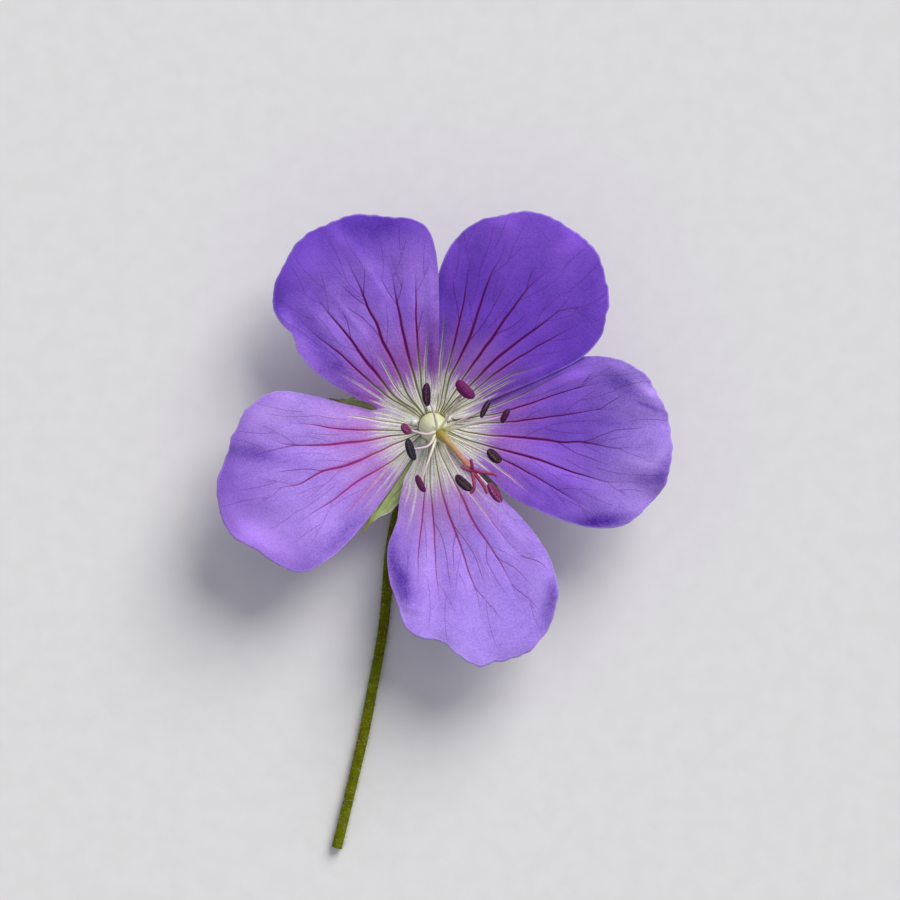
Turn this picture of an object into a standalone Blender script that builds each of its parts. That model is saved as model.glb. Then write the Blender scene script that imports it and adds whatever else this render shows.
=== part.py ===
import math

import bmesh
import bpy
from mathutils import Vector

# A picked hardy geranium flower, lying on its back with its stalk along the ground.
# Driving dimensions, in millimetres. Bearings are in degrees, anticlockwise from +X, seen from above.

MM = 0.001
WELD_DISTANCE = 0.00001
FINE_STEPS = 12  # points in each span of a smooth curve, before it is cut into equal lengths
FLOWER_AT = Vector((-1.24, 10.62, 0.0))  # middle of the flower, from the middle of the footprint

# Stalk, with the receptacle at its top
STALK_RADIUS = 0.53
STALK_ROUTE = [  # centre line on the ground, from the cut end to the foot of the bend
    (-9.6, -42.4), (-8.2, -36.6), (-6.9, -31.0), (-5.9, -25.8), (-5.0, -20.8), (-4.55, -16.6),
    (-4.25, -12.8), (-3.55, -8.9), (-2.5, -5.9),
]
STALK_BEND = [  # from the ground up to the receptacle: out along the stalk's bearing, height
    (4.2, 0.62), (2.7, 0.98), (1.45, 1.66), (0.55, 2.35), (0.0, 3.05),
]
STALK_BEARING = 247.0
STALK_STEPS = 34
STALK_SIDES = 12
RECEPTACLE = [(3.35, 0.72), (3.55, 1.0), (3.75, 1.22), (3.95, 1.3), (4.1, 1.28)]  # height, radius

# Petals
PETAL_THICKNESS = 0.25
CLAW_FROM_MIDDLE = 1.62
CLAW_HALF_WIDTH = 0.72
CLAW_HEIGHT = 4.32
PETAL_REACH = 23.0
PETAL_RISE = 5.2
RISE_POWER = 1.35
PETAL_DROOP = 1.3
DROOP_POWER = 5
EDGE_LIFT = 0.36  # each petal's clockwise edge lies over its neighbour, the other edge under
LIFT_FROM = 2.0
LIFT_OVER = 2.5
PETAL_ACROSS = 24
PETAL_ALONG = 9

# Each outline runs clockwise from one side of the claw to the other, in millimetres from the flower's middle.
# A fold is its place across the petal (0 to 1), its half width there, its height, and the power of the
# distance from the middle at which it grows.
PETALS = {
    "petal_upper_left": dict(
        claw=132.0,
        outline=[
            (-7.2, 2.6), (-9.1, 3.7), (-11.1, 5.0), (-12.7, 6.5), (-13.5, 7.8), (-13.8, 9.0), (-15.0, 10.2),
            (-15.8, 11.9), (-15.6, 14.2), (-14.3, 16.7), (-12.9, 18.7), (-10.7, 19.9), (-7.6, 21.0),
            (-4.0, 20.7), (-1.8, 20.5), (-0.3, 19.4), (0.5, 16.7), (0.7, 12.5), (0.7, 8.0),
        ],
        folds=[(0.30, 0.07, -0.5, 3.0), (0.55, 0.05, 0.45, 2.0), (0.74, 0.08, -0.3, 3.0)],
    ),
    "petal_upper_right": dict(
        claw=62.0,
        outline=[
            (0.2, 9.0), (0.3, 12.5), (0.8, 15.7), (2.1, 18.2), (4.1, 20.1), (6.8, 20.9), (9.4, 21.3),
            (11.9, 20.7), (14.4, 19.1), (16.4, 17.2), (17.3, 14.5), (17.5, 11.7), (16.7, 8.8),
            (14.9, 6.8), (11.5, 5.0), (7.7, 3.4),
        ],
        folds=[(0.33, 0.06, 0.3, 3.0), (0.62, 0.09, -0.35, 2.5)],
    ),
    "petal_right": dict(
        claw=350.0,
        outline=[
            (8.2, 4.4), (11.7, 6.2), (14.7, 6.9), (17.4, 6.9), (19.7, 6.1), (21.5, 4.7), (22.5, 2.9),
            (23.3, 1.4), (23.8, -1.7), (23.5, -4.7), (22.4, -6.9), (20.8, -8.6), (18.8, -9.9),
            (15.7, -10.1), (12.2, -9.1), (8.9, -7.6), (7.3, -6.6), (5.8, -5.1),
        ],
        folds=[(0.42, 0.03, -0.35, 4.0), (0.50, 0.06, 0.4, 3.0), (0.60, 0.035, -0.4, 4.0)],
    ),
    "petal_lower": dict(
        claw=278.0,
        outline=[
            (4.8, -4.8), (7.5, -7.6), (10.1, -10.5), (11.8, -13.3), (12.5, -16.5), (11.8, -19.6),
            (9.9, -22.2), (7.4, -23.3), (6.1, -23.4), (4.7, -23.9), (2.6, -22.7), (0.9, -21.3),
            (-1.2, -21.0), (-2.7, -19.8), (-3.4, -17.6), (-4.3, -15.0), (-4.4, -12.1), (-3.5, -9.4),
            (-3.2, -7.2), (-2.8, -5.2),
        ],
        folds=[(0.36, 0.06, -0.4, 3.0), (0.56, 0.05, 0.4, 3.0), (0.80, 0.06, -0.5, 1.5)],
    ),
    "petal_left": dict(
        claw=204.0,
        outline=[
            (-3.9, -6.0), (-6.2, -9.0), (-8.6, -11.8), (-11.1, -13.8), (-13.4, -14.5), (-15.9, -13.3),
            (-17.9, -12.0), (-20.1, -10.6), (-21.1, -7.9), (-21.3, -5.6), (-20.4, -2.9), (-19.6, -0.5),
            (-18.5, 1.5), (-16.9, 2.9), (-15.0, 3.5), (-12.1, 3.1), (-8.9, 2.3), (-7.2, 1.9),
        ],
        folds=[(0.30, 0.06, 0.35, 3.0), (0.52, 0.05, 0.35, 3.0), (0.64, 0.05, -0.5, 2.0)],
    ),
}

# Sepals: bearing, length from root to bristle point, and height of the point above the ground
SEPALS = [(237.0, 11.2, 4.6), (314.0, 9.2, 4.3), (24.0, 9.2, 0.13), (88.0, 9.2, 0.13), (165.0, 9.3, 0.13)]
SEPAL_ROOT = 1.48
SEPAL_ROOT_HEIGHT = 3.78
SEPAL_THICKNESS = 0.22
SEPAL_HALF_WIDTHS = [  # place along the sepal, half its width there
    (0.0, 0.62), (0.25, 1.6), (0.45, 1.85), (0.68, 1.3), (0.84, 0.42), (0.9, 0.15), (1.0, 0.09),
]
SEPAL_CUP = 0.28  # how far the sides stand above the midrib, at the widest
SEPAL_DROP_POWER = 1.7
SEPAL_ACROSS = 6
SEPAL_ALONG = 14

# Nectaries, between the claws
NECTARY_BEARINGS = [241.0, 314.0, 26.0, 97.0, 168.0]
NECTARY_FROM_MIDDLE = 1.78
NECTARY_HEIGHT = 4.42
NECTARY_RADIUS = 0.2

# Pistil: the ovary leans over, the style carries on and splits into five stigma lobes
OVARY_FOOT = Vector((0.0, 0.0, 4.26))
OVARY_TOP = Vector((0.79, -0.70, 7.0))
OVARY_RADII = [(0.0, 0.66), (0.2, 0.77), (0.45, 0.77), (0.7, 0.6), (0.88, 0.4), (1.0, 0.28)]
OVARY_LEAN_POWER = 1.6
STYLE_ROUTE = [(1.45, -1.45, 8.2), (2.3, -2.42, 9.7), (3.15, -3.42, 11.3), (3.97, -4.37, 12.8)]
OVARY_STEPS = 8
STYLE_STEPS = 9
STYLE_RADIUS = 0.26
PISTIL_SIDES = 12
STIGMA_RADIUS = 0.17
STIGMA_TAPER = 0.06  # share of the radius lost at each step towards the tip
STIGMA_STEPS = 6
STIGMA_SIDES = 8
STIGMA_LOBES = [  # each from the top of the style to its tip
    [(3.95, -4.3, 12.75), (3.95, -3.9, 13.25), (3.82, -3.25, 13.5)],
    [(3.95, -4.35, 12.75), (3.5, -4.3, 13.25), (2.83, -4.02, 13.45)],
    [(4.0, -4.37, 12.75), (5.0, -4.6, 13.2), (6.0, -4.72, 13.2), (6.46, -4.95, 12.95)],
    [(3.95, -4.42, 12.7), (4.1, -5.3, 13.1), (4.15, -6.2, 13.1), (3.75, -6.7, 12.9)],
    [(4.0, -4.42, 12.7), (4.7, -5.3, 13.05), (5.2, -6.1, 13.0), (5.42, -6.72, 12.75)],
]

# Stamens: bearing of the foot, middle of the anther, bearing of its long axis, length, width and thickness
STAMENS = [
    (125.0, (-0.50, 3.10, 10.0), 92.0, 2.3, 0.8, 0.7),
    (89.0, (3.28, 3.58, 9.8), 135.0, 2.4, 1.1, 0.8),
    (53.0, (5.27, 1.69, 9.6), 63.0, 2.0, 0.55, 0.7),
    (17.0, (7.25, 0.99, 9.3), 62.0, 1.6, 0.6, 0.6),
    (341.0, (6.16, -2.98, 9.2), 137.0, 1.8, 0.95, 0.7),
    (269.0, (3.13, -5.66, 9.6), 137.0, 2.2, 0.9, 0.75),
    (305.0, (6.21, -6.60, 9.5), 123.0, 2.3, 0.85, 0.7),
    (233.0, (-1.14, -5.71, 9.2), 116.0, 1.9, 0.65, 0.6),
    (197.0, (-2.09, -2.33, 9.8), 108.0, 2.3, 0.8, 0.75),
    (161.0, (-2.53, -0.30, 10.1), 132.0, 1.3, 0.8, 0.8),
]
FILAMENT_HUG = [  # share of the ovary's height, distance from its axis, radius
    (0.0, 1.18, 0.25), (0.25, 1.24, 0.25), (0.5, 1.22, 0.23), (0.75, 1.05, 0.18), (1.0, 0.76, 0.13),
]
FILAMENT_THREAD_RADIUS = 0.09
FILAMENT_KNEE_RISE = 0.35
FILAMENT_SPAN_STEPS = 3
FILAMENT_SIDES = 6
FILAMENT_TIP_GAP = 0.16
ANTHER_SEGMENTS = 12
ANTHER_RINGS = 8


def clear_scene():
    for scene_object in list(bpy.data.objects):
        bpy.data.objects.remove(scene_object, do_unlink=True)


def make_collection(name):
    collection = bpy.data.collections.new(name)
    bpy.context.scene.collection.children.link(collection)
    return collection


def make_material(name, colour, roughness):
    material = bpy.data.materials.new(name)
    material.use_nodes = True
    shader = material.node_tree.nodes["Principled BSDF"]
    shader.inputs["Base Color"].default_value = (*colour, 1.0)
    shader.inputs["Roughness"].default_value = roughness
    shader.inputs["Metallic"].default_value = 0.0
    material.diffuse_color = (*colour, 1.0)
    return material


def smooth_step(value):
    value = min(max(value, 0.0), 1.0)
    return value * value * (3.0 - 2.0 * value)


def table_value(rows, place, column=1):
    """Value at a place in rows of (place, value, ...), eased between the rows."""
    for before, after in zip(rows, rows[1:]):
        if place <= after[0]:
            share = smooth_step((place - before[0]) / (after[0] - before[0]))
            return before[column] + (after[column] - before[column]) * share
    return rows[-1][column]


def bearing_vector(bearing, length=1.0):
    angle = math.radians(bearing)
    return Vector((math.cos(angle) * length, math.sin(angle) * length, 0.0))


def smooth_curve(points, steps):
    """Points along the smooth curve through the given points, with the same number of steps in each span."""
    points = [Vector(point) for point in points]
    ends = [2 * points[0] - points[1], *points, 2 * points[-1] - points[-2]]
    curve = []
    for index in range(len(points) - 1):
        a, b, c, d = ends[index:index + 4]
        for step in range(steps):
            t = step / steps
            curve.append(0.5 * (2 * b + (c - a) * t + (2 * a - 5 * b + 4 * c - d) * t * t
                                + (3 * b - a - 3 * c + d) * t ** 3))
    curve.append(points[-1])
    return curve


def even_points(points, count):
    """The smooth curve through the points, cut into count equal lengths."""
    curve = smooth_curve(points, FINE_STEPS)
    lengths = [0.0]
    for before, after in zip(curve, curve[1:]):
        lengths.append(lengths[-1] + (after - before).length)
    even = []
    span = 0
    for index in range(count + 1):
        target = lengths[-1] * index / count
        while span < len(lengths) - 2 and lengths[span + 1] < target:
            span += 1
        share = (target - lengths[span]) / (lengths[span + 1] - lengths[span])
        even.append(curve[span].lerp(curve[span + 1], share))
    return even


def place_in_frame(point):
    return (Vector(point) + FLOWER_AT) * MM


def finish_object(name, data, material, collection):
    new_object = bpy.data.objects.new(name, data)
    new_object.data.materials.append(material)
    collection.objects.link(new_object)
    return new_object


def make_sheet(name, columns, rows, surface, thickness, material, collection):
    """A thin piece: a grid whose points follow surface(across, along), thickened to both sides."""
    mesh = bpy.data.meshes.new(name)
    grid = bmesh.new()
    bmesh.ops.create_grid(grid, x_segments=columns, y_segments=rows, size=0.5)
    for vertex in grid.verts:
        vertex.co = place_in_frame(surface(vertex.co.x + 0.5, vertex.co.y + 0.5))
    grid.normal_update()
    if sum(face.normal.z for face in grid.faces) < 0:
        bmesh.ops.reverse_faces(grid, faces=grid.faces)
    grid.to_mesh(mesh)
    grid.free()
    mesh.shade_smooth()
    sheet = finish_object(name, mesh, material, collection)
    wall = sheet.modifiers.new("thickness", "SOLIDIFY")
    wall.thickness = thickness * MM
    wall.offset = 0.0
    return sheet


def make_tube(name, points, radii, sides, material, collection):
    """A round piece along the points, with its own radius at each point."""
    curve = bpy.data.curves.new(name, "CURVE")
    curve.dimensions = "3D"
    curve.bevel_depth = MM
    curve.bevel_resolution = sides // 2 - 2
    curve.use_fill_caps = True
    spline = curve.splines.new("POLY")
    spline.points.add(len(points) - 1)
    for spline_point, point, radius in zip(spline.points, points, radii):
        spline_point.co = (*place_in_frame(point), 1.0)
        spline_point.radius = radius
    return finish_object(name, curve, material, collection)


def make_stalk(material, collection):
    on_ground = [(x, y, STALK_RADIUS) for x, y in STALK_ROUTE]
    bend = [bearing_vector(STALK_BEARING, out) + Vector((0, 0, height)) for out, height in STALK_BEND]
    points = even_points(on_ground + bend, STALK_STEPS)
    radii = [STALK_RADIUS] * len(points)
    for point in points:
        point.z = max(point.z, STALK_RADIUS)
    for height, radius in RECEPTACLE:
        points.append(Vector((0.0, 0.0, height)))
        radii.append(radius)
    make_tube("stem", points, radii, STALK_SIDES, material, collection)


def make_petal(name, petal, material, collection):
    across = bearing_vector(petal["claw"] - 90.0, CLAW_HALF_WIDTH)
    claw = bearing_vector(petal["claw"], CLAW_FROM_MIDDLE)
    rim = even_points([(x, y, 0.0) for x, y in petal["outline"]], PETAL_ACROSS)

    def surface(u, v):
        point = (claw + across * (2.0 * u - 1.0)).lerp(rim[round(u * PETAL_ACROSS)], v)
        distance = point.length
        reach = distance / PETAL_REACH
        point.z = CLAW_HEIGHT + PETAL_RISE * reach ** RISE_POWER - PETAL_DROOP * reach ** DROOP_POWER
        point.z -= PETAL_RISE * (CLAW_FROM_MIDDLE / PETAL_REACH) ** RISE_POWER
        point.z += EDGE_LIFT * (2.0 * u - 1.0) * smooth_step((distance - LIFT_FROM) / LIFT_OVER)
        for place, half_width, height, power in petal["folds"]:
            point.z += height * math.exp(-((u - place) / half_width) ** 2) * reach ** power
        return point

    make_sheet(name, PETAL_ACROSS, PETAL_ALONG, surface, PETAL_THICKNESS, material, collection)


def make_sepal(name, bearing, length, point_height, material, collection):
    outward = bearing_vector(bearing)
    sideways = bearing_vector(bearing + 90.0)

    def surface(u, v):
        half_width = table_value(SEPAL_HALF_WIDTHS, v)
        side = 2.0 * u - 1.0
        cup = SEPAL_CUP * side * side * half_width / SEPAL_HALF_WIDTHS[2][1]
        drop = (SEPAL_ROOT_HEIGHT - point_height) * v ** SEPAL_DROP_POWER
        point = outward * (SEPAL_ROOT + length * v) + sideways * (half_width * side)
        point.z = SEPAL_ROOT_HEIGHT - drop + cup
        return point

    make_sheet(name, SEPAL_ACROSS, SEPAL_ALONG, surface, SEPAL_THICKNESS, material, collection)


def ovary_axis(share):
    point = OVARY_FOOT.lerp(OVARY_TOP, share)
    lean = share ** OVARY_LEAN_POWER
    point.x = OVARY_FOOT.x + (OVARY_TOP.x - OVARY_FOOT.x) * lean
    point.y = OVARY_FOOT.y + (OVARY_TOP.y - OVARY_FOOT.y) * lean
    return point


def hug_point(bearing, share, out):
    """Point beside the ovary's leaning axis, square to it, on the side of the bearing."""
    along = (ovary_axis(share + 0.01) - ovary_axis(share)).normalized()
    side = bearing_vector(bearing)
    side -= along * side.dot(along)
    return ovary_axis(share) + side.normalized() * out


def solid_mesh(tube):
    """The tube's mesh with its caps welded on; the curve object is removed."""
    mesh = bpy.data.meshes.new_from_object(tube.evaluated_get(bpy.context.evaluated_depsgraph_get()))
    welded = bmesh.new()
    welded.from_mesh(mesh)
    bmesh.ops.remove_doubles(welded, verts=welded.verts, dist=WELD_DISTANCE * MM)
    welded.to_mesh(mesh)
    welded.free()
    name = tube.name
    bpy.data.objects.remove(tube, do_unlink=True)
    mesh.name = name
    return mesh


def make_pistil(material, collection, cutters):
    shares = [index / OVARY_STEPS for index in range(OVARY_STEPS + 1)]
    points = [ovary_axis(share) for share in shares]
    radii = [table_value(OVARY_RADII, share) for share in shares]
    style = even_points([OVARY_TOP, *STYLE_ROUTE], STYLE_STEPS)[1:]
    points += style
    radii += [STYLE_RADIUS] * len(style)
    body_tube = make_tube("pistil", points, radii, PISTIL_SIDES, material, collection)
    bpy.context.view_layer.update()
    pistil = finish_object("pistil", solid_mesh(body_tube), material, collection)
    for number, route in enumerate(STIGMA_LOBES, 1):
        lobe_points = even_points(route, STIGMA_STEPS)
        lobe_radii = [STIGMA_RADIUS * (1.0 - STIGMA_TAPER * step) for step in range(STIGMA_STEPS + 1)]
        name = f"stigma_lobe_{number}"
        lobe_tube = make_tube(name, lobe_points, lobe_radii, STIGMA_SIDES, material, cutters)
        bpy.context.view_layer.update()
        lobe = finish_object(name, solid_mesh(lobe_tube), material, cutters)
        lobe.hide_render = True
        lobe.display_type = "WIRE"
        union = pistil.modifiers.new(f"lobe {number}", "BOOLEAN")
        union.operation = "UNION"
        union.object = lobe


def make_stamen(number, stamen, thread_material, anther_material, collection):
    foot_bearing, middle, long_bearing, length, width, thickness = stamen
    middle = Vector(middle)
    hug = [hug_point(foot_bearing, share, out) for share, out, radius in FILAMENT_HUG]
    tip = middle - Vector((0.0, 0.0, thickness / 2 + FILAMENT_TIP_GAP))
    knee = hug[-1].lerp(tip, 0.5) + Vector((0.0, 0.0, FILAMENT_KNEE_RISE))
    points = smooth_curve([*hug, knee, tip], FILAMENT_SPAN_STEPS)
    hug_steps = FILAMENT_SPAN_STEPS * (len(hug) - 1)
    radii = []
    for index in range(len(points)):
        share = min(index / hug_steps, 1.0)
        radius = table_value(FILAMENT_HUG, share, 2)
        thread = max(index - hug_steps, 0) / (len(points) - 1 - hug_steps)
        radii.append(radius + (FILAMENT_THREAD_RADIUS - radius) * min(thread * 2.0, 1.0))
    make_tube(f"filament_{number}", points, radii, FILAMENT_SIDES, thread_material, collection)

    mesh = bpy.data.meshes.new(f"anther_{number}")
    ball = bmesh.new()
    bmesh.ops.create_uvsphere(ball, u_segments=ANTHER_SEGMENTS, v_segments=ANTHER_RINGS, radius=0.5 * MM)
    for vertex in ball.verts:
        vertex.co = (vertex.co.z * length, vertex.co.x * width, vertex.co.y * thickness)
    ball.to_mesh(mesh)
    ball.free()
    mesh.shade_smooth()
    anther = finish_object(f"anther_{number}", mesh, anther_material, collection)
    anther.location = place_in_frame(middle)
    anther.rotation_euler.z = math.radians(long_bearing)


def make_nectary(number, bearing, material, collection):
    mesh = bpy.data.meshes.new(f"nectary_{number}")
    ball = bmesh.new()
    bmesh.ops.create_icosphere(ball, subdivisions=2, radius=NECTARY_RADIUS * MM)
    ball.to_mesh(mesh)
    ball.free()
    mesh.shade_smooth()
    nectary = finish_object(f"nectary_{number}", mesh, material, collection)
    middle = bearing_vector(bearing, NECTARY_FROM_MIDDLE)
    middle.z = NECTARY_HEIGHT
    nectary.location = place_in_frame(middle)


def main():
    clear_scene()
    flower = make_collection("hardy_geranium_flower")
    cutters = make_collection("joined_shapes")
    petal_violet = make_material("petal_violet", (0.23, 0.12, 0.60), 0.6)
    sepal_green = make_material("sepal_green", (0.22, 0.27, 0.10), 0.65)
    stalk_green = make_material("stalk_green", (0.09, 0.13, 0.02), 0.6)
    filament_white = make_material("filament_white", (0.75, 0.70, 0.68), 0.5)
    anther_purple = make_material("anther_purple", (0.05, 0.01, 0.05), 0.55)
    pistil_cream = make_material("pistil_cream", (0.60, 0.55, 0.30), 0.5)
    nectary_white = make_material("nectary_white", (0.75, 0.78, 0.62), 0.3)

    make_stalk(stalk_green, flower)
    for number, (bearing, length, point_height) in enumerate(SEPALS, 1):
        make_sepal(f"sepal_{number}", bearing, length, point_height, sepal_green, flower)
    for name, petal in PETALS.items():
        make_petal(name, petal, petal_violet, flower)
    for number, bearing in enumerate(NECTARY_BEARINGS, 1):
        make_nectary(number, bearing, nectary_white, flower)
    for number, stamen in enumerate(STAMENS, 1):
        make_stamen(number, stamen, filament_white, anther_purple, flower)
    make_pistil(pistil_cream, flower, cutters)


main()
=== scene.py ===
import math

import bmesh
import bpy
import numpy as np
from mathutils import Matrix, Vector


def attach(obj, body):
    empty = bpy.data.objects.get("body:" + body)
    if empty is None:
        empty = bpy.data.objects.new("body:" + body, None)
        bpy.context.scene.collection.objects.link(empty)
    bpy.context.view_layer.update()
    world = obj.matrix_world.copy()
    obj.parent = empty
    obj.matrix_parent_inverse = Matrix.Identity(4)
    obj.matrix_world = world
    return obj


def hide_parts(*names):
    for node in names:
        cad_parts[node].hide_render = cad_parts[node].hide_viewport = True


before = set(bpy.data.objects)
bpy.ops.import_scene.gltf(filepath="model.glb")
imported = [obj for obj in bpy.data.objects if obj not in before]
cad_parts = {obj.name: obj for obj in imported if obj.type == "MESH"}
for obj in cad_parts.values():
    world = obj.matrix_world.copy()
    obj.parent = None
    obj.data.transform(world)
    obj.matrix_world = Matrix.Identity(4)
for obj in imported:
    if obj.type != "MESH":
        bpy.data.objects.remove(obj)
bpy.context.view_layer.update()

# A picked hardy geranium flower, face up on a pale surface, with its hairy stem along the ground.
# Lengths are millimetres from the flower's middle; bearings are degrees anticlockwise from +X.

mm = 0.001
flowerMiddle = np.array((-1.24, 10.62, 0.0))  # from the middle of the footprint
finePoints = 12  # points in each span of a smooth line before it is cut into equal lengths


# Small helpers for shapes

def ease(value):
    value = np.clip(value, 0.0, 1.0)
    return value * value * (3.0 - 2.0 * value)


def easedTable(rows, place, column=1):
    # value at each place in rows of (place, value, ...), eased between the rows
    table = np.array(rows, float)
    place = np.clip(np.asarray(place, float), table[0, 0], table[-1, 0])
    span = np.clip(np.searchsorted(table[:, 0], place, side="right") - 1, 0, len(table) - 2)
    low, high = table[span], table[span + 1]
    share = ease((place - low[..., 0]) / (high[..., 0] - low[..., 0]))
    return low[..., column] + (high[..., column] - low[..., column]) * share


def bearingVector(bearing, length=1.0):
    angle = math.radians(bearing)
    return np.array((math.cos(angle) * length, math.sin(angle) * length, 0.0))


def smoothLine(points, count):
    # the smooth curve through the points, cut into count equal lengths
    knots = np.array(points, float)
    ends = np.vstack([2 * knots[0] - knots[1], knots, 2 * knots[-1] - knots[-2]])
    t = np.arange(finePoints)[:, None] / finePoints
    spans = []
    for a, b, c, d in zip(ends, ends[1:], ends[2:], ends[3:]):
        spans.append(0.5 * (2 * b + (c - a) * t + (2 * a - 5 * b + 4 * c - d) * t ** 2
                            + (3 * b - a - 3 * c + d) * t ** 3))
    curve = np.vstack(spans + [knots[-1:]])
    steps = np.linalg.norm(np.diff(curve, axis=0), axis=1)
    lengths = np.concatenate([[0.0], np.cumsum(steps)])
    even = np.linspace(0.0, lengths[-1], count + 1)
    return np.stack([np.interp(even, lengths, axis) for axis in curve.T], axis=1)


def lineDistance(x, y, line):
    # each point's distance from a flat line, below 0 on its right, and how far along its nearest place is
    nearest = np.full(x.shape, np.inf)
    side = np.ones(x.shape)
    along = np.zeros(x.shape)
    count = len(line) - 1
    for index, (start, end) in enumerate(zip(line, line[1:])):
        runX, runY = (end - start)[:2]
        awayX, awayY = x - start[0], y - start[1]
        share = (awayX * runX + awayY * runY) / (runX * runX + runY * runY + 1e-12)
        share = np.clip(share, 0.0, 1.0)
        gap = np.hypot(awayX - runX * share, awayY - runY * share)
        closer = gap < nearest
        nearest = np.where(closer, gap, nearest)
        side = np.where(closer, np.where(runX * awayY < runY * awayX, -1.0, 1.0), side)
        along = np.where(closer, (index + share) / count, along)
    return nearest * side, along


def waves(x, y, size, seed, count=14):
    # gentle uneven ground about 1 high, from crossing waves whose length is near size
    draws = np.random.default_rng(seed)
    total = 0.0
    for bearing, stretch, phase in draws.random((count, 3)):
        angle = bearing * math.tau
        length = size * (0.7 + 0.8 * stretch)
        across = x * math.cos(angle) + y * math.sin(angle)
        total = total + np.sin(across * math.tau / length + phase * math.tau)
    return total / math.sqrt(count)


def turnedOut(points, faces):
    # the same faces, turned over if they point into the closed shape
    volume = 0.0
    for face in faces:
        first = points[face[0]]
        for left, right in zip(face[1:], face[2:]):
            volume += np.dot(first, np.cross(points[left], points[right]))
    return [face[::-1] for face in faces] if volume < 0 else faces


def addObject(name, data):
    made = bpy.data.objects.new(name, data)
    bpy.context.scene.collection.objects.link(made)
    return made


def makePiece(name, vertices, faces, finish, uv, marks):
    # a smooth closed mesh, in place, from points in millimetres; uv and marks have a value for each point
    mesh = bpy.data.meshes.new(name)
    mesh.from_pydata(((vertices + flowerMiddle) * mm).tolist(), [], faces)
    mesh.shade_smooth()
    corner = np.zeros(len(mesh.loops), int)
    mesh.loops.foreach_get("vertex_index", corner)
    mesh.uv_layers.new(name="UVMap").data.foreach_set("uv", uv[corner].ravel())
    for title, values in marks.items():
        layer = mesh.attributes.new(title, "FLOAT", "POINT")
        layer.data.foreach_set("value", values.astype(np.float32))
    mesh.materials.append(finish)
    return addObject(name, mesh)


def standFor(piece, slot, *nodes):
    # the piece moves with the flower's one body, and takes the place of its CAD nodes
    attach(piece, "root")
    if nodes:
        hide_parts(*nodes)
    return piece


def gridFaces(rows, columns, closed=False):
    # the quads of a grid of points that is stored row by row
    faces = []
    for row in range(rows - 1):
        for column in range(columns if closed else columns - 1):
            here = row * columns + column
            beside = row * columns + (column + 1) % columns
            faces.append((here, beside, beside + columns, here + columns))
    return faces


def sheetPiece(name, top, bottom, finish, uv, marks):
    # a thin closed shell between two grids of points, with a wall round its edge
    rows, columns = top.shape[:2]
    count = rows * columns
    vertices = np.vstack([top.reshape(-1, 3), bottom.reshape(-1, 3)])
    upper = gridFaces(rows, columns)
    a, b, c = (vertices[index] for index in upper[len(upper) // 2][:3])
    if np.cross(b - a, c - a)[2] < 0:
        upper = [face[::-1] for face in upper]
    lower = [tuple(index + count for index in face[::-1]) for face in upper]
    used = {edge for face in upper for edge in zip(face, face[1:] + face[:1])}
    wall = sorted((b, a, a + count, b + count) for a, b in used if (b, a) not in used)
    marks = {title: np.tile(values.ravel(), 2) for title, values in marks.items()}
    marks["underside"] = np.repeat((0.0, 1.0), count)
    return makePiece(name, vertices, upper + lower + wall, finish, np.tile(uv.reshape(-1, 2), (2, 1)), marks)


def crossFrames(points, firstSide):
    # two directions square to the line at each of its points, carried along without twisting
    tangents = np.gradient(points, axis=0)
    tangents /= np.linalg.norm(tangents, axis=1)[:, None]
    side = np.array(firstSide, float)
    sides = []
    for tangent in tangents:
        side = side - tangent * np.dot(side, tangent)
        side /= np.linalg.norm(side)
        sides.append(side)
    sides = np.array(sides)
    return tangents, sides, np.cross(tangents, sides)


def turns(count):
    # the bearings of count points round a ring, in radians
    return np.arange(count) / count * math.tau


def spokes(points, firstSide, turn):
    # the line's heading at each of its points, and the directions from there to a ring's points
    tangents, sides, others = crossFrames(points, firstSide)
    cosine, sine = (wave(turn)[None, :, None] for wave in (np.cos, np.sin))
    return tangents, cosine * sides[:, None, :] + sine * others[:, None, :]


def allRound(values, count):
    # one value for each ring, given to all its points
    return np.repeat(values[:, None], count, axis=1)


def loftPiece(name, rings, finish, **marks):
    # a closed body through rings of points, with a point in the middle of each end
    rows, columns = rings.shape[:2]
    vertices = np.vstack([rings.reshape(-1, 3), rings[0].mean(axis=0), rings[-1].mean(axis=0)])
    faces = gridFaces(rows, columns, closed=True)
    lastRing, first, last = (rows - 1) * columns, rows * columns, rows * columns + 1
    for column in range(columns):
        beside = (column + 1) % columns
        faces.append((beside, column, first))
        faces.append((lastRing + column, lastRing + beside, last))
    along, around = np.meshgrid(np.linspace(0, 1, rows), np.arange(columns) / columns, indexing="ij")
    uv = np.vstack([np.stack([around, along], axis=-1).reshape(-1, 2), [(0.5, 0.0), (0.5, 1.0)]])
    marks = {"along": along, **marks}
    for title, values in marks.items():
        marks[title] = np.append(values, (values[0].mean(), values[-1].mean()))
    return makePiece(name, vertices, turnedOut(vertices, faces), finish, uv, marks)


# Shader maths: a Flow is what comes out of a node, and sums on it add Math nodes

class Flow:
    def __init__(self, finish, socket):
        self.finish = finish
        self.socket = socket

    def maths(self, operation, first, second=0.0):
        return self.finish.node("Math", {"operation": operation}, {0: first, 1: second})

    def __add__(self, other):
        return self.maths("ADD", self, other)

    def __radd__(self, other):
        return self.maths("ADD", other, self)

    def __sub__(self, other):
        return self.maths("SUBTRACT", self, other)

    def __rsub__(self, other):
        return self.maths("SUBTRACT", other, self)

    def __mul__(self, other):
        return self.maths("MULTIPLY", self, other)

    def __rmul__(self, other):
        return self.maths("MULTIPLY", other, self)

    def absolute(self):
        return self.maths("ABSOLUTE", self)

    def between(self, low, high):
        # 0 at low, 1 at high, eased
        settings = {"interpolation_type": "SMOOTHSTEP"}
        return self.finish.node("MapRange", settings, {"Value": self, "From Min": low, "From Max": high})


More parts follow.
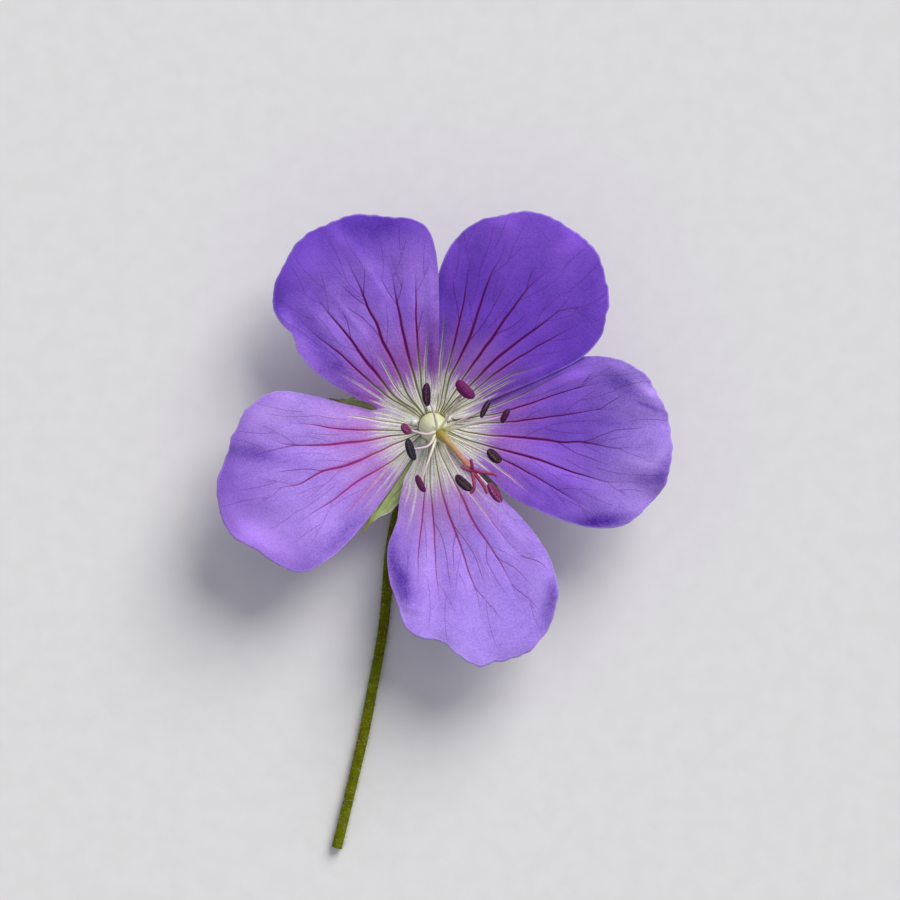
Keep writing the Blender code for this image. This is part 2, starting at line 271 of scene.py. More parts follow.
class Finish:
    def __init__(self, name, roughness, **uniform):
        self.material = bpy.data.materials.new(name)
        self.material.use_nodes = True
        self.tree = self.material.node_tree
        self.shader = self.tree.nodes["Principled BSDF"]
        self.shader.inputs["Roughness"].default_value = roughness
        for title, value in uniform.items():
            self.shader.inputs[title.replace("_", " ")].default_value = value

    def feed(self, socket, value):
        if isinstance(value, Flow):
            self.tree.links.new(value.socket, socket)
        elif socket.type == "RGBA":
            socket.default_value = (*value[:3], 1.0)
        else:
            socket.default_value = value

    def node(self, kind, settings=None, sockets=None, output=0):
        made = self.tree.nodes.new("ShaderNode" + kind)
        for title, value in (settings or {}).items():
            if title == "stops":
                ramp = made.color_ramp
                while len(ramp.elements) < len(value):
                    ramp.elements.new(1.0)
                for element, (position, colour) in zip(ramp.elements, value):
                    element.position = position
                    element.color = (*colour, 1.0)
            else:
                setattr(made, title, value)
        for title, value in (sockets or {}).items():
            if isinstance(title, int):
                socket = made.inputs[title]
            else:
                socket = next(item for item in made.inputs if item.name == title and item.enabled)
            self.feed(socket, value)
        shown = [item for item in made.outputs if item.enabled]
        return Flow(self, shown[output])

    def mark(self, title):
        return self.node("Attribute", {"attribute_name": title}, output=2)

    def ownMap(self):
        return self.node("UVMap", {"uv_map": "UVMap"})

    def place(self, stretch=None):
        # the piece's own UV map, stretched, or else object coordinates in millimetres
        source = self.ownMap() if stretch else self.node("TexCoord", output=3)
        return self.node("Mapping", None, {"Vector": source, "Scale": stretch or (1.0 / mm,) * 3})

    def speckle(self, scale, detail=2.0, roughness=0.5, stretch=None):
        sockets = {"Vector": self.place(stretch), "Scale": scale, "Detail": detail, "Roughness": roughness}
        return self.node("TexNoise", None, sockets)

    def cells(self, scale):
        return self.node("TexVoronoi", None, {"Vector": self.place(), "Scale": scale})

    def blend(self, share, under, over, way="MIX"):
        settings = {"data_type": "RGBA", "blend_type": way}
        return self.node("Mix", settings, {0: share, "A": under, "B": over})

    def layers(self, colour, *coats):
        # each coat is the share that it covers, and its colour
        for share, over in coats:
            colour = self.blend(share, colour, over)
        return colour

    def done(self, colour, roughness=None, height=None, depth=0.0):
        # depth is how far the surface moves, in millimetres, for a height of 1
        self.feed(self.shader.inputs["Base Color"], colour)
        if roughness is not None:
            self.feed(self.shader.inputs["Roughness"], roughness)
        if height is not None:
            bumped = self.node("Bump", None, {"Strength": 1.0, "Distance": depth * mm, "Height": height})
            self.feed(self.shader.inputs["Normal"], bumped)
        return self.material


def paint(red, green, blue):
    # a colour as screens give it, 0 to 255, turned into the light that shaders add up
    shares = (red / 255.0, green / 255.0, blue / 255.0)
    return tuple(value / 12.92 if value <= 0.04045 else ((value + 0.055) / 1.055) ** 2.4 for value in shares)


def lighter(colour, lift=0.0):
    return tuple(min(value * 1.5 + lift, 1.0) for value in colour)


def softMix(finish, scale, tones, smooth=None, change=0.0):
    # two tones in soft patches; where smooth is given, roughness runs from there with the patches
    tint = finish.speckle(scale)
    colour = finish.blend(tint.between(0.35, 0.65), *tones)
    return finish.done(colour, None if smooth is None else smooth + tint * change)


# Petals

petalShape = {
    "across": 200,  # columns and rows of the fine mesh
    "along": 112,
    "thickness": 0.17,
    "rimThickness": 0.06,
    "clawFromMiddle": 1.62,
    "footFromMiddle": 1.42,
    "footSpread": 34.0,
    "clawHeight": 4.32,
    "reach": 23.0,
    "rise": 5.2,
    "risePower": 1.35,
    "droop": 1.3,
    "droopPower": 5,
    "edgeLift": 0.36,
    "liftFrom": 1.7,
    "liftOver": 1.6,
    "grooveDepth": 0.05,
    "grooveHalfWidth": 0.16,
    "forkTurn": 31.0,
    "forkLength": 4.4,
    "forkSteps": 6,
    "forkClearance": 0.35,
    "twigLean": 0.87,
    "veinRounding": 12,
    "veinWander": 0.02,
    "pillowHeight": 0.10,
    "rimWave": 0.07,
    "rimNibble": 0.05,
    "bladeWave": 0.05,
}

# Half widths at the foot, middle and tip, strength, how far out olive turns crimson, and the half width and
# reach of the pale band beside the vein
veinKinds = {
    "main": ((0.07, 0.165, 0.05), 1.0, 4.6, 0.16, 8.5),
    "side": ((0.065, 0.11, 0.045), 1.0, 6.2, 0.14, 8.5),
    "olive": ((0.06, 0.065, 0.04), 0.85, 12.0, 0.12, 11.0),
    "cream": ((0.05, 0.055, 0.04), 0.6, 6.0, 0.09, 13.0),
    "pale": ((0.045, 0.04, 0.03), 0.35, 99.0, 0.08, 12.5),
    "between": ((0.045, 0.045, 0.03), 0.6, 99.0, 0.09, 8.5),
    "twig": ((0.065, 0.055, 0.04), 0.75, 0.0, 0.0, 1.0),
    "fork": ((0.05, 0.045, 0.035), 0.45, 0.0, 0.0, 1.0),
}
betweenRadii = (2.0, 3.0, 4.0, 5.0, 6.2)  # where short lines run between the longer veins
forkPlaces = (0.4, 0.5, 0.6, 0.7, 0.8, 0.9)  # where finer veins leave the longer ones
farOff = 9.0  # what a place has for its distance from a vein until one is found

# claw: bearing of the petal's foot; outline: from one side of it clockwise to the other
# folds: place across the petal, half width, height and power of growth
# ripples: middle of a ridge, its bearing, half length, half width and height
# patches: the same, with how much painted shade darkens the violet there, or how much painted light makes it
# paler below 0
# crimsonFrom: how much nearer to the eye the veins turn crimson
# veinDepth, veinWidth: how strongly veins show, and how broad the long ones are
# flush, halo: the pink tint round the eye and its strength, and how strongly pink follows the veins
# eye: where the pale eye starts to fade, and where it ends
# veins: each one's kind and its points, outwards
# shoulders: how many degrees each side spreads, and how far out
# tones: the blade, its shaded parts and its tip; each petal's tones hold painted shade and light, darker on
# petals that face away from the key light and lighter on those facing it
petals = {}
petals["petal_upper_left"] = {
    "claw": 132.0,
    "outline": [
        (-7.2, 2.6), (-9.1, 3.7), (-11.1, 5.0), (-12.7, 6.5), (-13.5, 7.8), (-13.8, 9.0), (-15.0, 10.2),
        (-15.8, 11.9), (-15.6, 14.2), (-14.3, 16.7), (-12.9, 18.7), (-10.7, 19.9), (-7.6, 21.0),
        (-4.0, 20.7), (-1.8, 20.5), (-0.3, 19.4), (0.5, 16.7), (0.7, 12.5), (0.7, 8.0),
    ],
    "folds": [(0.30, 0.07, -0.5, 3.0), (0.55, 0.05, 0.45, 2.0), (0.74, 0.08, -0.3, 3.0)],
    "ripples": [
        (-7.6, 17.0, 132, 3.6, 0.8, 0.16), (-14.6, 10.4, 126, 1.9, 0.55, 0.25),
        (-5.0, 18.6, 60, 1.5, 1.2, -0.12),
    ],
    "patches": [
        (-9.0, 18.3, 124, 2.8, 0.8, -0.86), (-12.4, 16.8, 30, 2.4, 1.7, -0.64),
        (-1.3, 14.2, 90, 4.5, 1.0, -0.35), (-6.4, 12.6, 115, 3.2, 1.6, -0.3),
        (-5.7, 20.1, 0, 3.8, 1.3, 0.5), (-9.4, 5.8, 125, 2.8, 1.2, 0.55), (-15.3, 12.4, 65, 2.0, 0.9, 0.36),
        (-13.6, 8.6, 130, 2.2, 0.6, -0.45), (-5.6, 17.6, 105, 1.8, 0.8, 0.2),
        (-0.3, 7.9, 92, 2.2, 0.45, 0.6), (-5.1, 14.0, 125, 1.7, 0.28, -0.5),
        (-7.7, 10.6, 130, 2.2, 0.3, -0.4), (-8.5, 10.7, 130, 2.2, 0.35, 0.25),
        (-11.8, 9.7, 125, 2.4, 0.9, 0.3),
    ],
    "crimsonFrom": 0.0,
    "veinDepth": 1.0,
    "veinWidth": 1.0,
    "crimson": paint(96, 0, 86),
    "flush": (paint(164, 88, 156), 0.65),
    "halo": 0.22,
    "eye": (2.7, 6.0),
    "veins": [
        ("main", [(-1.4, 1.9), (-2.3, 2.9), (-2.9, 4.1), (-3.7, 6.1), (-5.0, 8.6), (-5.5, 10.2),
            (-6.5, 11.9), (-6.9, 13.3), (-8.2, 15.9), (-8.7, 17.0)]),
        ("main", [(-0.9, 2.2), (-1.3, 3.1), (-1.8, 5.1), (-2.4, 7.1), (-2.8, 8.9), (-3.5, 12.4),
            (-3.8, 14.0), (-4.1, 15.9)]),
        ("main", [(-2.0, 1.9), (-3.0, 2.3), (-4.4, 3.6), (-5.2, 4.9), (-6.7, 6.5), (-7.8, 8.3), (-8.9, 9.6),
            (-10.9, 12.0), (-11.9, 13.7)]),
        ("side", [(-0.7, 2.3), (-1.1, 3.5), (-1.1, 5.4), (-1.4, 7.1), (-1.5, 9.2), (-1.6, 11.2),
            (-1.6, 13.4), (-1.6, 16.0)]),
        ("side", [(-2.3, 1.7), (-3.6, 2.4), (-4.7, 3.1), (-5.8, 4.1), (-8.1, 6.2), (-9.5, 7.5),
            (-11.3, 8.8), (-13.0, 10.3)]),
        ("olive", [(-0.5, 2.4), (-0.7, 5.2), (-0.5, 8.3), (-0.3, 10.6)]),
        ("olive", [(-1.8, 2.2), (-2.8, 2.9), (-3.8, 4.2), (-4.8, 6.1), (-5.8, 7.6)]),
        ("cream", [(-2.5, 1.5), (-3.7, 2.0), (-4.8, 2.5), (-6.1, 3.4), (-8.6, 4.9), (-10.9, 6.3)]),
        ("pale", [(-2.7, 1.4), (-3.8, 1.7), (-5.2, 2.2), (-6.6, 2.7)]),
        ("twig", [(-5.1, 8.8), (-6.2, 10.0), (-7.2, 11.0), (-8.1, 11.5), (-8.9, 12.3)]),
        ("twig", [(-6.5, 11.9), (-7.5, 12.6), (-8.6, 13.6), (-9.3, 14.4)]),
        ("twig", [(-6.8, 13.4), (-6.7, 14.9), (-6.7, 16.0)]),
        ("twig", [(-3.5, 12.3), (-3.1, 13.4), (-2.9, 14.9)]),
        ("twig", [(-3.6, 12.2), (-4.4, 13.4), (-5.2, 14.9)]),
        ("twig", [(-1.4, 9.5), (-1.1, 10.7), (-0.8, 12.0)]),
        ("twig", [(-8.1, 8.8), (-8.5, 10.6), (-9.2, 11.7)]),
    ],
    "shoulders": ((12, 6.5), (10, 6.0)),
    "tones": (paint(162, 118, 228), paint(144, 98, 216), paint(116, 72, 200)),
}
petals["petal_upper_right"] = {
    "claw": 62.0,
    "outline": [
        (0.2, 9.0), (0.3, 12.5), (0.8, 15.7), (2.1, 18.2), (4.1, 20.1), (6.8, 20.9), (9.4, 21.3),
        (11.9, 20.7), (14.4, 19.1), (16.4, 17.2), (17.3, 14.5), (17.5, 11.7), (16.7, 8.8), (14.9, 6.8),
        (11.5, 5.0), (7.7, 3.4),
    ],
    "folds": [(0.33, 0.06, 0.3, 3.0), (0.62, 0.09, -0.35, 2.5)],
    "ripples": [
        (7.6, 19.2, 95, 2.2, 0.9, 0.12), (13.7, 17.4, 30, 2.0, 0.9, 0.12), (11.6, 5.4, 24, 4.0, 1.2, -0.22),
    ],
    "patches": [
        (15.8, 13.6, 82, 4.6, 1.6, 0.34), (7.6, 8.8, 30, 3.6, 1.6, -0.35), (13.0, 17.0, 30, 1.4, 1.0, -0.3),
        (7.6, 19.4, 95, 2.0, 0.9, -0.25), (6.6, 3.6, 27, 2.4, 0.5, 0.3), (9.0, 4.3, 21, 3.2, 0.45, 0.35),
        (10.6, 5.8, 28, 3.8, 0.8, -0.44), (2.6, 12.6, 80, 4.0, 1.0, 0.12),
    ],
    "crimsonFrom": 0.0,
    "veinDepth": 1.0,
    "veinWidth": 0.9,
    "crimson": paint(90, 0, 84),
    "flush": (paint(168, 116, 176), 0.64),
    "halo": 0.18,
    "eye": (2.7, 6.2),
    "veins": [
        ("main", [(1.6, 2.3), (2.9, 4.5), (4.1, 6.2), (5.3, 7.8), (6.3, 9.2), (7.4, 10.9), (8.3, 12.0),
            (9.4, 13.6), (11.2, 15.1), (12.6, 16.0)]),
        ("main", [(1.3, 2.3), (1.6, 4.5), (2.5, 6.3), (3.6, 8.5), (4.2, 10.2), (5.3, 13.6), (6.0, 15.4),
            (6.9, 16.7), (7.3, 18.4)]),
        ("main", [(2.0, 2.3), (3.9, 4.1), (5.5, 5.9), (7.0, 7.2), (9.1, 8.8), (11.6, 10.6), (12.6, 11.4),
            (14.1, 13.4)]),
        ("side", [(0.9, 2.3), (1.3, 4.9), (1.9, 7.1), (2.5, 9.5), (3.2, 12.6), (3.5, 15.1), (4.0, 16.9)]),
        ("side", [(2.3, 2.2), (4.3, 3.6), (5.8, 4.9), (7.2, 5.9), (10.6, 8.0), (13.4, 9.5), (15.1, 10.4)]),
        ("olive", [(0.6, 2.3), (0.9, 7.1), (1.2, 9.2), (1.4, 12.7)]),
        ("olive", [(2.5, 2.0), (4.3, 3.1), (7.2, 4.8), (8.9, 5.5), (10.3, 5.8), (12.6, 6.6)]),
        ("olive", [(2.6, 1.8), (4.1, 2.4), (5.5, 3.2), (7.7, 4.5), (8.9, 4.7)]),
        ("pale", [(2.7, 1.6), (4.2, 2.1), (5.9, 2.9), (7.0, 3.5)]),
        ("twig", [(2.7, 10.7), (2.3, 12.9), (2.0, 14.9)]),
        ("twig", [(3.6, 8.4), (4.8, 9.7), (5.8, 11.3), (6.5, 12.6), (7.5, 14.6)]),
        ("twig", [(6.5, 9.2), (7.7, 9.7), (8.9, 10.6), (9.7, 11.3)]),
        ("twig", [(9.4, 13.6), (9.6, 14.4), (10.0, 15.7)]),
        ("twig", [(12.6, 11.4), (14.0, 11.7), (15.1, 11.9)]),
    ],
    "shoulders": ((10, 6.0), (10, 6.5)),
    "tones": (paint(122, 72, 204), paint(110, 62, 196), paint(130, 82, 210)),
}
petals["petal_right"] = {
    "claw": 350.0,
    "outline": [
        (8.2, 4.4), (11.7, 6.2), (14.7, 6.9), (17.4, 6.9), (19.7, 6.1), (21.5, 4.7), (22.5, 2.9),
        (23.3, 1.4), (23.8, -1.7), (23.5, -4.7), (22.4, -6.9), (20.8, -8.6), (18.8, -9.9), (15.7, -10.1),
        (12.2, -9.1), (8.9, -7.6), (7.3, -6.6), (5.8, -5.1),
    ],
    "folds": [(0.42, 0.03, -0.35, 4.0), (0.50, 0.06, 0.4, 3.0), (0.60, 0.035, -0.4, 4.0)],
    "ripples": [
        (21.9, 3.0, 5, 1.6, 0.4, 0.12), (14.0, 4.9, 20, 1.8, 0.8, 0.3), (21.6, -1.4, 80, 1.8, 1.0, 0.12),
        (11.5, 5.6, 24, 3.5, 1.2, 0.12),
    ],
    "patches": [
        (13.9, 4.6, 15, 2.8, 1.0, -0.9), (12.2, -3.4, 160, 4.8, 1.4, -0.8),
        (19.0, 4.1, 155, 2.6, 1.3, 0.56), (16.6, -9.4, 5, 3.0, 0.9, 0.9), (22.9, -4.6, 80, 1.8, 0.9, 0.5),
        (21.4, -5.3, 0, 1.6, 0.6, 0.42), (21.4, 3.6, 145, 2.0, 0.45, -0.55),
        (21.6, 1.9, 160, 1.4, 0.25, 0.5), (21.0, -3.7, 165, 1.8, 0.35, -0.35),
        (22.6, -3.0, 60, 1.2, 0.6, -0.4), (17.8, 0.3, 0, 3.4, 1.0, 0.28), (4.8, 2.5, 30, 1.8, 0.5, 0.5),
    ],
    "crimsonFrom": 0.4,
    "veinDepth": 1.0,
    "veinWidth": 0.75,
    "crimson": paint(92, 0, 90),
    "flush": (paint(172, 114, 192), 0.6),
    "halo": 0.22,
    "eye": (2.9, 7.0),
    "veins": [
        ("main", [(1.8, -0.2), (3.2, -0.5), (5.2, -0.9), (7.5, -1.0), (9.3, -1.2), (10.9, -1.3),
            (12.7, -1.6), (15.3, -1.6), (16.8, -2.0), (18.2, -2.2), (21.0, -2.1)]),
        ("main", [(1.9, -0.6), (3.2, -1.3), (4.6, -1.7), (6.0, -2.1), (7.5, -2.5), (10.9, -3.4),
            (12.6, -4.1), (16.0, -5.2), (17.8, -5.6), (20.1, -5.5)]),
        ("side", [(1.9, 0.1), (3.5, 0.1), (5.1, 0.3), (7.7, 0.4), (10.9, 0.8), (12.6, 1.0), (14.6, 1.3),
            (16.7, 1.7), (19.0, 1.4)]),
        ("side", [(2.1, 0.5), (4.6, 1.0), (6.5, 1.2), (8.0, 1.7), (9.7, 2.2), (11.4, 2.8), (13.0, 3.4),
            (14.6, 3.8), (17.5, 4.5)]),
        ("side", [(1.9, -0.8), (2.9, -1.5), (4.6, -2.2), (7.0, -3.3), (8.2, -3.9), (9.7, -4.7),
            (11.4, -5.7), (12.9, -6.6), (14.3, -7.4), (16.2, -8.5)]),
        ("olive", [(2.1, 0.7), (4.6, 1.5), (6.5, 2.1), (8.0, 2.7), (9.7, 3.5), (11.0, 4.2), (12.7, 5.1),
            (14.3, 5.7)]),
        ("olive", [(2.0, 0.9), (3.6, 1.7), (5.6, 2.7), (7.6, 3.6), (9.0, 4.2)]),
        ("pale", [(2.0, 1.2), (3.5, 2.1), (5.0, 3.0), (6.4, 3.8)]),
        ("cream", [(2.0, -1.1), (3.6, -2.2), (5.5, -3.3), (6.8, -4.3), (8.0, -5.2), (9.4, -6.4),
            (10.9, -7.3)]),
        ("pale", [(1.9, -1.3), (3.0, -2.3), (4.6, -3.6), (6.2, -5.0)]),
        ("twig", [(15.3, -1.6), (16.8, -0.9), (18.4, -0.4), (21.7, -0.1)]),
        ("twig", [(12.7, -1.7), (14.3, -2.7), (16.0, -3.3), (17.4, -3.9)]),
        ("twig", [(16.6, 1.6), (17.8, 2.4), (19.1, 3.1)]),
        ("twig", [(14.6, 3.8), (15.3, 4.6), (16.1, 5.4)]),
    ],
    "shoulders": ((10, 6.5), (10, 7.6)),
    "tones": (paint(134, 88, 208), paint(124, 78, 200), paint(168, 134, 228)),
}
petals["petal_lower"] = {
    "claw": 278.0,
    "outline": [
        (4.8, -4.8), (7.5, -7.6), (10.1, -10.5), (11.8, -13.3), (12.5, -16.5), (11.8, -19.6), (9.9, -22.2),
        (7.4, -23.3), (6.1, -23.4), (4.7, -23.9), (2.6, -22.7), (0.9, -21.3), (-1.2, -21.0), (-2.7, -19.8),
        (-3.4, -17.6), (-4.3, -15.0), (-4.4, -12.1), (-3.5, -9.4), (-3.2, -7.2), (-2.8, -5.2),
    ],
    "folds": [(0.36, 0.06, -0.4, 3.0), (0.56, 0.05, 0.4, 3.0), (0.80, 0.06, -0.5, 1.5)],
    "ripples": [
        (-5.2, -14.8, 98, 2.6, 1.8, -0.9), (-2.1, -18.1, 170, 1.0, 0.4, 0.2),
        (12.4, -17.4, 88, 2.6, 0.8, 0.3),
    ],
    "patches": [
        (-3.0, -15.4, 108, 3.2, 0.95, 0.78), (-4.0, -11.8, 90, 2.4, 0.6, 0.3),
        (11.7, -17.6, 74, 3.0, 0.7, 0.5), (2.8, -22.7, 150, 2.6, 0.9, -0.32),
        (8.8, -18.6, 115, 2.8, 0.9, 0.16), (-0.6, -13.5, 95, 6.0, 1.4, -0.24),
        (1.0, -7.5, 95, 3.0, 2.4, -0.1), (6.2, -13.2, 120, 4.0, 1.2, 0.16),
        (10.2, -15.0, 110, 3.0, 0.9, -0.2), (-2.8, -18.5, 0, 1.3, 0.7, -0.4),
    ],
    "crimsonFrom": 0.6,
    "veinDepth": 0.86,
    "veinWidth": 0.68,
    "crimson": paint(136, 40, 104),
    "flush": (paint(188, 136, 192), 0.75),
    "halo": 0.28,
    "eye": (3.6, 8.0),
    "veins": [
        ("main", [(0.2, -2.2), (0.4, -3.4), (0.6, -4.7), (1.1, -7.0), (2.1, -10.0), (3.0, -12.3),
            (3.6, -14.5), (4.4, -16.3), (4.9, -19.1)]),
        ("main", [(0.6, -2.2), (1.3, -3.7), (2.0, -5.2), (3.0, -7.0), (3.9, -9.2), (5.3, -11.3),
            (6.6, -13.3), (7.7, -15.1), (8.4, -17.3)]),
        ("side", [(-0.1, -2.2), (-0.2, -4.7), (-0.2, -6.2), (-0.0, -7.8), (0.2, -10.0), (0.3, -12.8),
            (0.4, -14.5), (0.6, -16.1), (0.8, -17.9)]),
        ("side", [(-0.3, -2.2), (-0.7, -4.5), (-0.8, -7.0), (-1.0, -9.5), (-1.3, -12.0), (-1.4, -14.5),
            (-1.4, -16.3)]),
        ("cream", [(0.9, -2.3), (1.7, -3.8), (3.1, -5.9), (4.4, -7.4), (5.8, -9.3), (7.1, -11.0),
            (8.2, -12.3), (9.2, -13.3)]),
        ("pale", [(1.1, -2.6), (2.6, -4.3), (4.1, -5.9), (5.4, -7.2), (6.8, -8.2), (8.1, -9.3),
            (8.8, -10.3)]),
        ("pale", [(-0.8, -2.4), (-1.5, -4.5), (-1.6, -6.7), (-2.0, -9.0), (-2.7, -11.0), (-3.0, -12.8)]),
        ("pale", [(-1.0, -2.7), (-1.9, -4.6), (-2.4, -7.0), (-2.9, -8.7)]),
        ("twig", [(4.4, -16.3), (5.8, -17.8), (7.1, -19.6)]),
        ("twig", [(3.0, -11.0), (4.1, -12.6), (4.9, -14.8), (5.4, -16.3)]),
        ("twig", [(5.4, -13.3), (6.4, -15.3), (7.6, -17.0)]),
        ("twig", [(2.1, -12.0), (2.1, -13.3), (2.1, -14.8)]),
        ("twig", [(8.2, -16.1), (9.4, -17.0), (10.7, -18.3)]),
        ("twig", [(9.2, -13.1), (10.7, -13.5), (11.7, -14.6)]),
        ("twig", [(6.6, -13.3), (8.0, -13.9), (9.7, -15.6)]),
        ("twig", [(1.1, -11.2), (1.5, -13.6), (2.0, -17.1)]),
    ],
    "shoulders": ((10, 7.4), (10, 3.8)),
    "tones": (paint(178, 140, 238), paint(168, 128, 230), paint(178, 144, 242)),
}
petals["petal_left"] = {
    "claw": 204.0,
    "outline": [
        (-3.9, -6.0), (-6.2, -9.0), (-8.6, -11.8), (-11.1, -13.8), (-13.4, -14.5), (-15.9, -13.3),
        (-17.9, -12.0), (-20.1, -10.6), (-21.1, -7.9), (-21.3, -5.6), (-20.4, -2.9), (-19.6, -0.5),
        (-18.5, 1.5), (-16.9, 2.9), (-15.0, 3.5), (-12.1, 3.1), (-8.9, 2.3), (-7.2, 1.9),
    ],
    "folds": [(0.30, 0.06, 0.35, 3.0), (0.52, 0.05, 0.35, 3.0), (0.64, 0.05, -0.5, 2.0)],
    "ripples": [(-17.0, -2.6, 185, 4.0, 0.6, -0.12)],
    "patches": [
        (-18.0, -10.8, 143, 4.2, 1.8, -1.4), (-17.2, 1.0, 30, 2.2, 1.4, -0.4),
        (-10.0, 1.2, 175, 4.6, 1.2, -0.25), (-17.0, -2.9, 172, 3.4, 0.9, 0.55),
        (-8.6, -10.6, 48, 2.8, 1.0, 0.52), (-20.2, -4.8, 95, 1.6, 0.8, 0.14),
    ],
    "crimsonFrom": 2.2,
    "veinDepth": 0.92,
    "veinWidth": 0.8,
    "crimson": paint(146, 22, 112),
    "flush": (paint(200, 140, 216), 0.75),
    "halo": 0.4,
    "eye": (2.9, 6.8),
    "veins": [
        ("main", [(-1.7, -0.7), (-2.2, -0.8), (-4.3, -1.0), (-6.0, -1.4), (-7.9, -1.6), (-9.6, -1.8),
            (-11.3, -1.9), (-14.4, -1.9), (-15.5, -1.5), (-16.4, -1.1)]),
        ("main", [(-1.8, -1.0), (-2.5, -1.3), (-3.6, -1.7), (-5.0, -2.4), (-6.7, -3.2), (-8.1, -3.8),
            (-9.6, -4.2), (-11.0, -4.5), (-12.1, -5.2), (-13.5, -5.9), (-15.0, -6.1), (-16.4, -6.5)]),
        ("side", [(-1.7, -0.4), (-2.5, -0.5), (-5.0, -0.4), (-7.2, -0.4), (-9.3, -0.3), (-11.0, 0.0),
            (-12.4, 0.2), (-14.1, 0.3)]),
        ("side", [(-1.8, -1.5), (-2.3, -2.1), (-4.3, -3.7), (-5.7, -4.5), (-7.3, -5.4), (-8.6, -6.4),
            (-10.0, -7.5), (-11.3, -8.3), (-13.5, -9.8)]),
        ("cream", [(-1.9, -1.7), (-3.0, -2.8), (-5.0, -4.8), (-6.4, -6.4), (-7.6, -7.6), (-8.4, -8.6),
            (-9.3, -9.5)]),
        ("pale", [(-1.9, -1.9), (-3.2, -3.6), (-4.3, -5.1), (-5.3, -6.5), (-6.4, -7.8), (-7.6, -9.0),
            (-8.4, -10.3)]),
        ("pale", [(-2.0, -2.2), (-3.1, -4.2), (-4.2, -5.9), (-5.0, -7.1)]),
        ("olive", [(-1.8, -0.1), (-2.5, 0.2), (-5.0, 0.5), (-6.4, 0.8), (-7.9, 1.0), (-9.3, 1.2)]),
        ("pale", [(-1.9, 0.2), (-3.2, 0.8), (-4.7, 1.2), (-6.4, 1.5)]),
        ("twig", [(-13.7, -1.95), (-15.9, -2.4), (-18.2, -3.2)]),
        ("twig", [(-11.0, -4.5), (-12.1, -4.3), (-14.1, -4.4), (-15.7, -4.7)]),
    ],
    "shoulders": ((10, 3.8), (12, 6.5)),
    "tones": (paint(182, 144, 238), paint(172, 132, 230), paint(134, 94, 197)),
}


def petalHeight(u, distance, petal):
    # height of the middle of the petal's thickness, as on the solid petal that this one stands for
    shape = petalShape
    reach = distance / shape["reach"]
    height = shape["clawHeight"] + shape["rise"] * reach ** shape["risePower"]
    height -= shape["droop"] * reach ** shape["droopPower"]
    height -= shape["rise"] * (shape["clawFromMiddle"] / shape["reach"]) ** shape["risePower"]
    lift = ease((distance - shape["liftFrom"]) / shape["liftOver"])
    height += shape["edgeLift"] * (2.0 * u - 1.0) * lift
    for middle, halfWidth, rise, power in petal["folds"]:
        height += rise * np.exp(-((u - middle) / halfWidth) ** 2) * reach ** power
    return height


def veinLine(kind, points):
    # a vein's line, evened out, with a little wander of its own; all but the twigs start at the foot
    start = np.array(points[0])
    foot = start * petalShape["footFromMiddle"] / np.hypot(*start)
    line = smoothLine(points if kind == "twig" else [foot, *points], 7 * len(points))
    for _ in range(petalShape["veinRounding"]):
        line[1:-1] = (line[:-2] + 2 * line[1:-1] + line[2:]) / 4
    x, y = line[:, 0], line[:, 1]
    return line + petalShape["veinWander"] * np.stack([waves(x, y, 2.6, 5), waves(x, y, 2.3, 6)], axis=1)


def forkLine(line, place, way, draws):
    # a fine vein that leaves a longer one to one side and then bends back to run beside it
    start = int(place * (len(line) - 1))
    heading = line[min(start + 1, len(line) - 1)] - line[start - 1]
    heading = math.atan2(heading[1], heading[0])
    turn = math.radians(petalShape["forkTurn"] * way * draws.uniform(0.8, 1.3))
    length = petalShape["forkLength"] * draws.uniform(0.7, 1.3)
    points = [line[start]]
    steps = petalShape["forkSteps"]
    for step in range(steps):
        bearing = heading + turn * (1.0 - 0.1 * step)
        points.append(points[-1] + np.array((math.cos(bearing), math.sin(bearing))) * length / steps)
    return smoothLine(points, 3 * steps)


def branchedOff(points, veins):
    # a twig's points, with the place put before them where it leaves a longer vein at a sharp angle
    start = np.array(points[0])
    spots = np.vstack(veins)
    gaps = np.hypot(*(spots - start).T)
    nearerEye = np.hypot(*start) - np.hypot(*spots.T)
    gaps = np.where(nearerEye > np.maximum(gaps * petalShape["twigLean"], 0.3), gaps, np.inf)
    return [spots[np.argmin(gaps)], *points]


def keepsClear(line, others):
    # whether a fork, once it has left its vein, stays away from the other lines
    x, y = line[petalShape["forkSteps"]:].T
    gaps = [np.abs(lineDistance(x, y, other)[0]).min() for other in others]
    return min(gaps) > petalShape["forkClearance"]


def veinLines(petal):
    lines = [(kind, veinLine(kind, points)) for kind, points in petal["veins"] if kind != "twig"]
    veins = [line for _, line in lines]
    for kind, points in petal["veins"]:
        if kind == "twig":
            lines.append((kind, veinLine(kind, branchedOff(points, veins))))
    draws = np.random.default_rng(int(petal["claw"]))
    longer = []
    for kind, line in list(lines):
        if kind in ("main", "side"):
            way = draws.choice((-1.0, 1.0))
            for place in forkPlaces:
                way = -way
                fork = forkLine(line, place + draws.uniform(-0.06, 0.06), way, draws)
                if keepsClear(fork, [other for _, other in lines if other is not line]):
                    lines.append(("fork", fork))
                smaller = forkLine(fork, 0.45, -way, draws)
                if keepsClear(smaller, [other for _, other in lines if other is not fork]):
                    lines.append(("fork", smaller))
        if kind != "twig":
            away = np.hypot(line[:, 0], line[:, 1])
            longer.append(np.stack([np.interp(betweenRadii, away, axis) for axis in line.T], axis=1))
    sideways = bearingVector(petal["claw"] - 90.0)[:2]
    longer.sort(key=lambda points: float(points[2] @ sideways))
    for left, right in zip(longer, longer[1:]):
        lines.append(("between", smoothLine((left + right) / 2, 20)))
    return lines


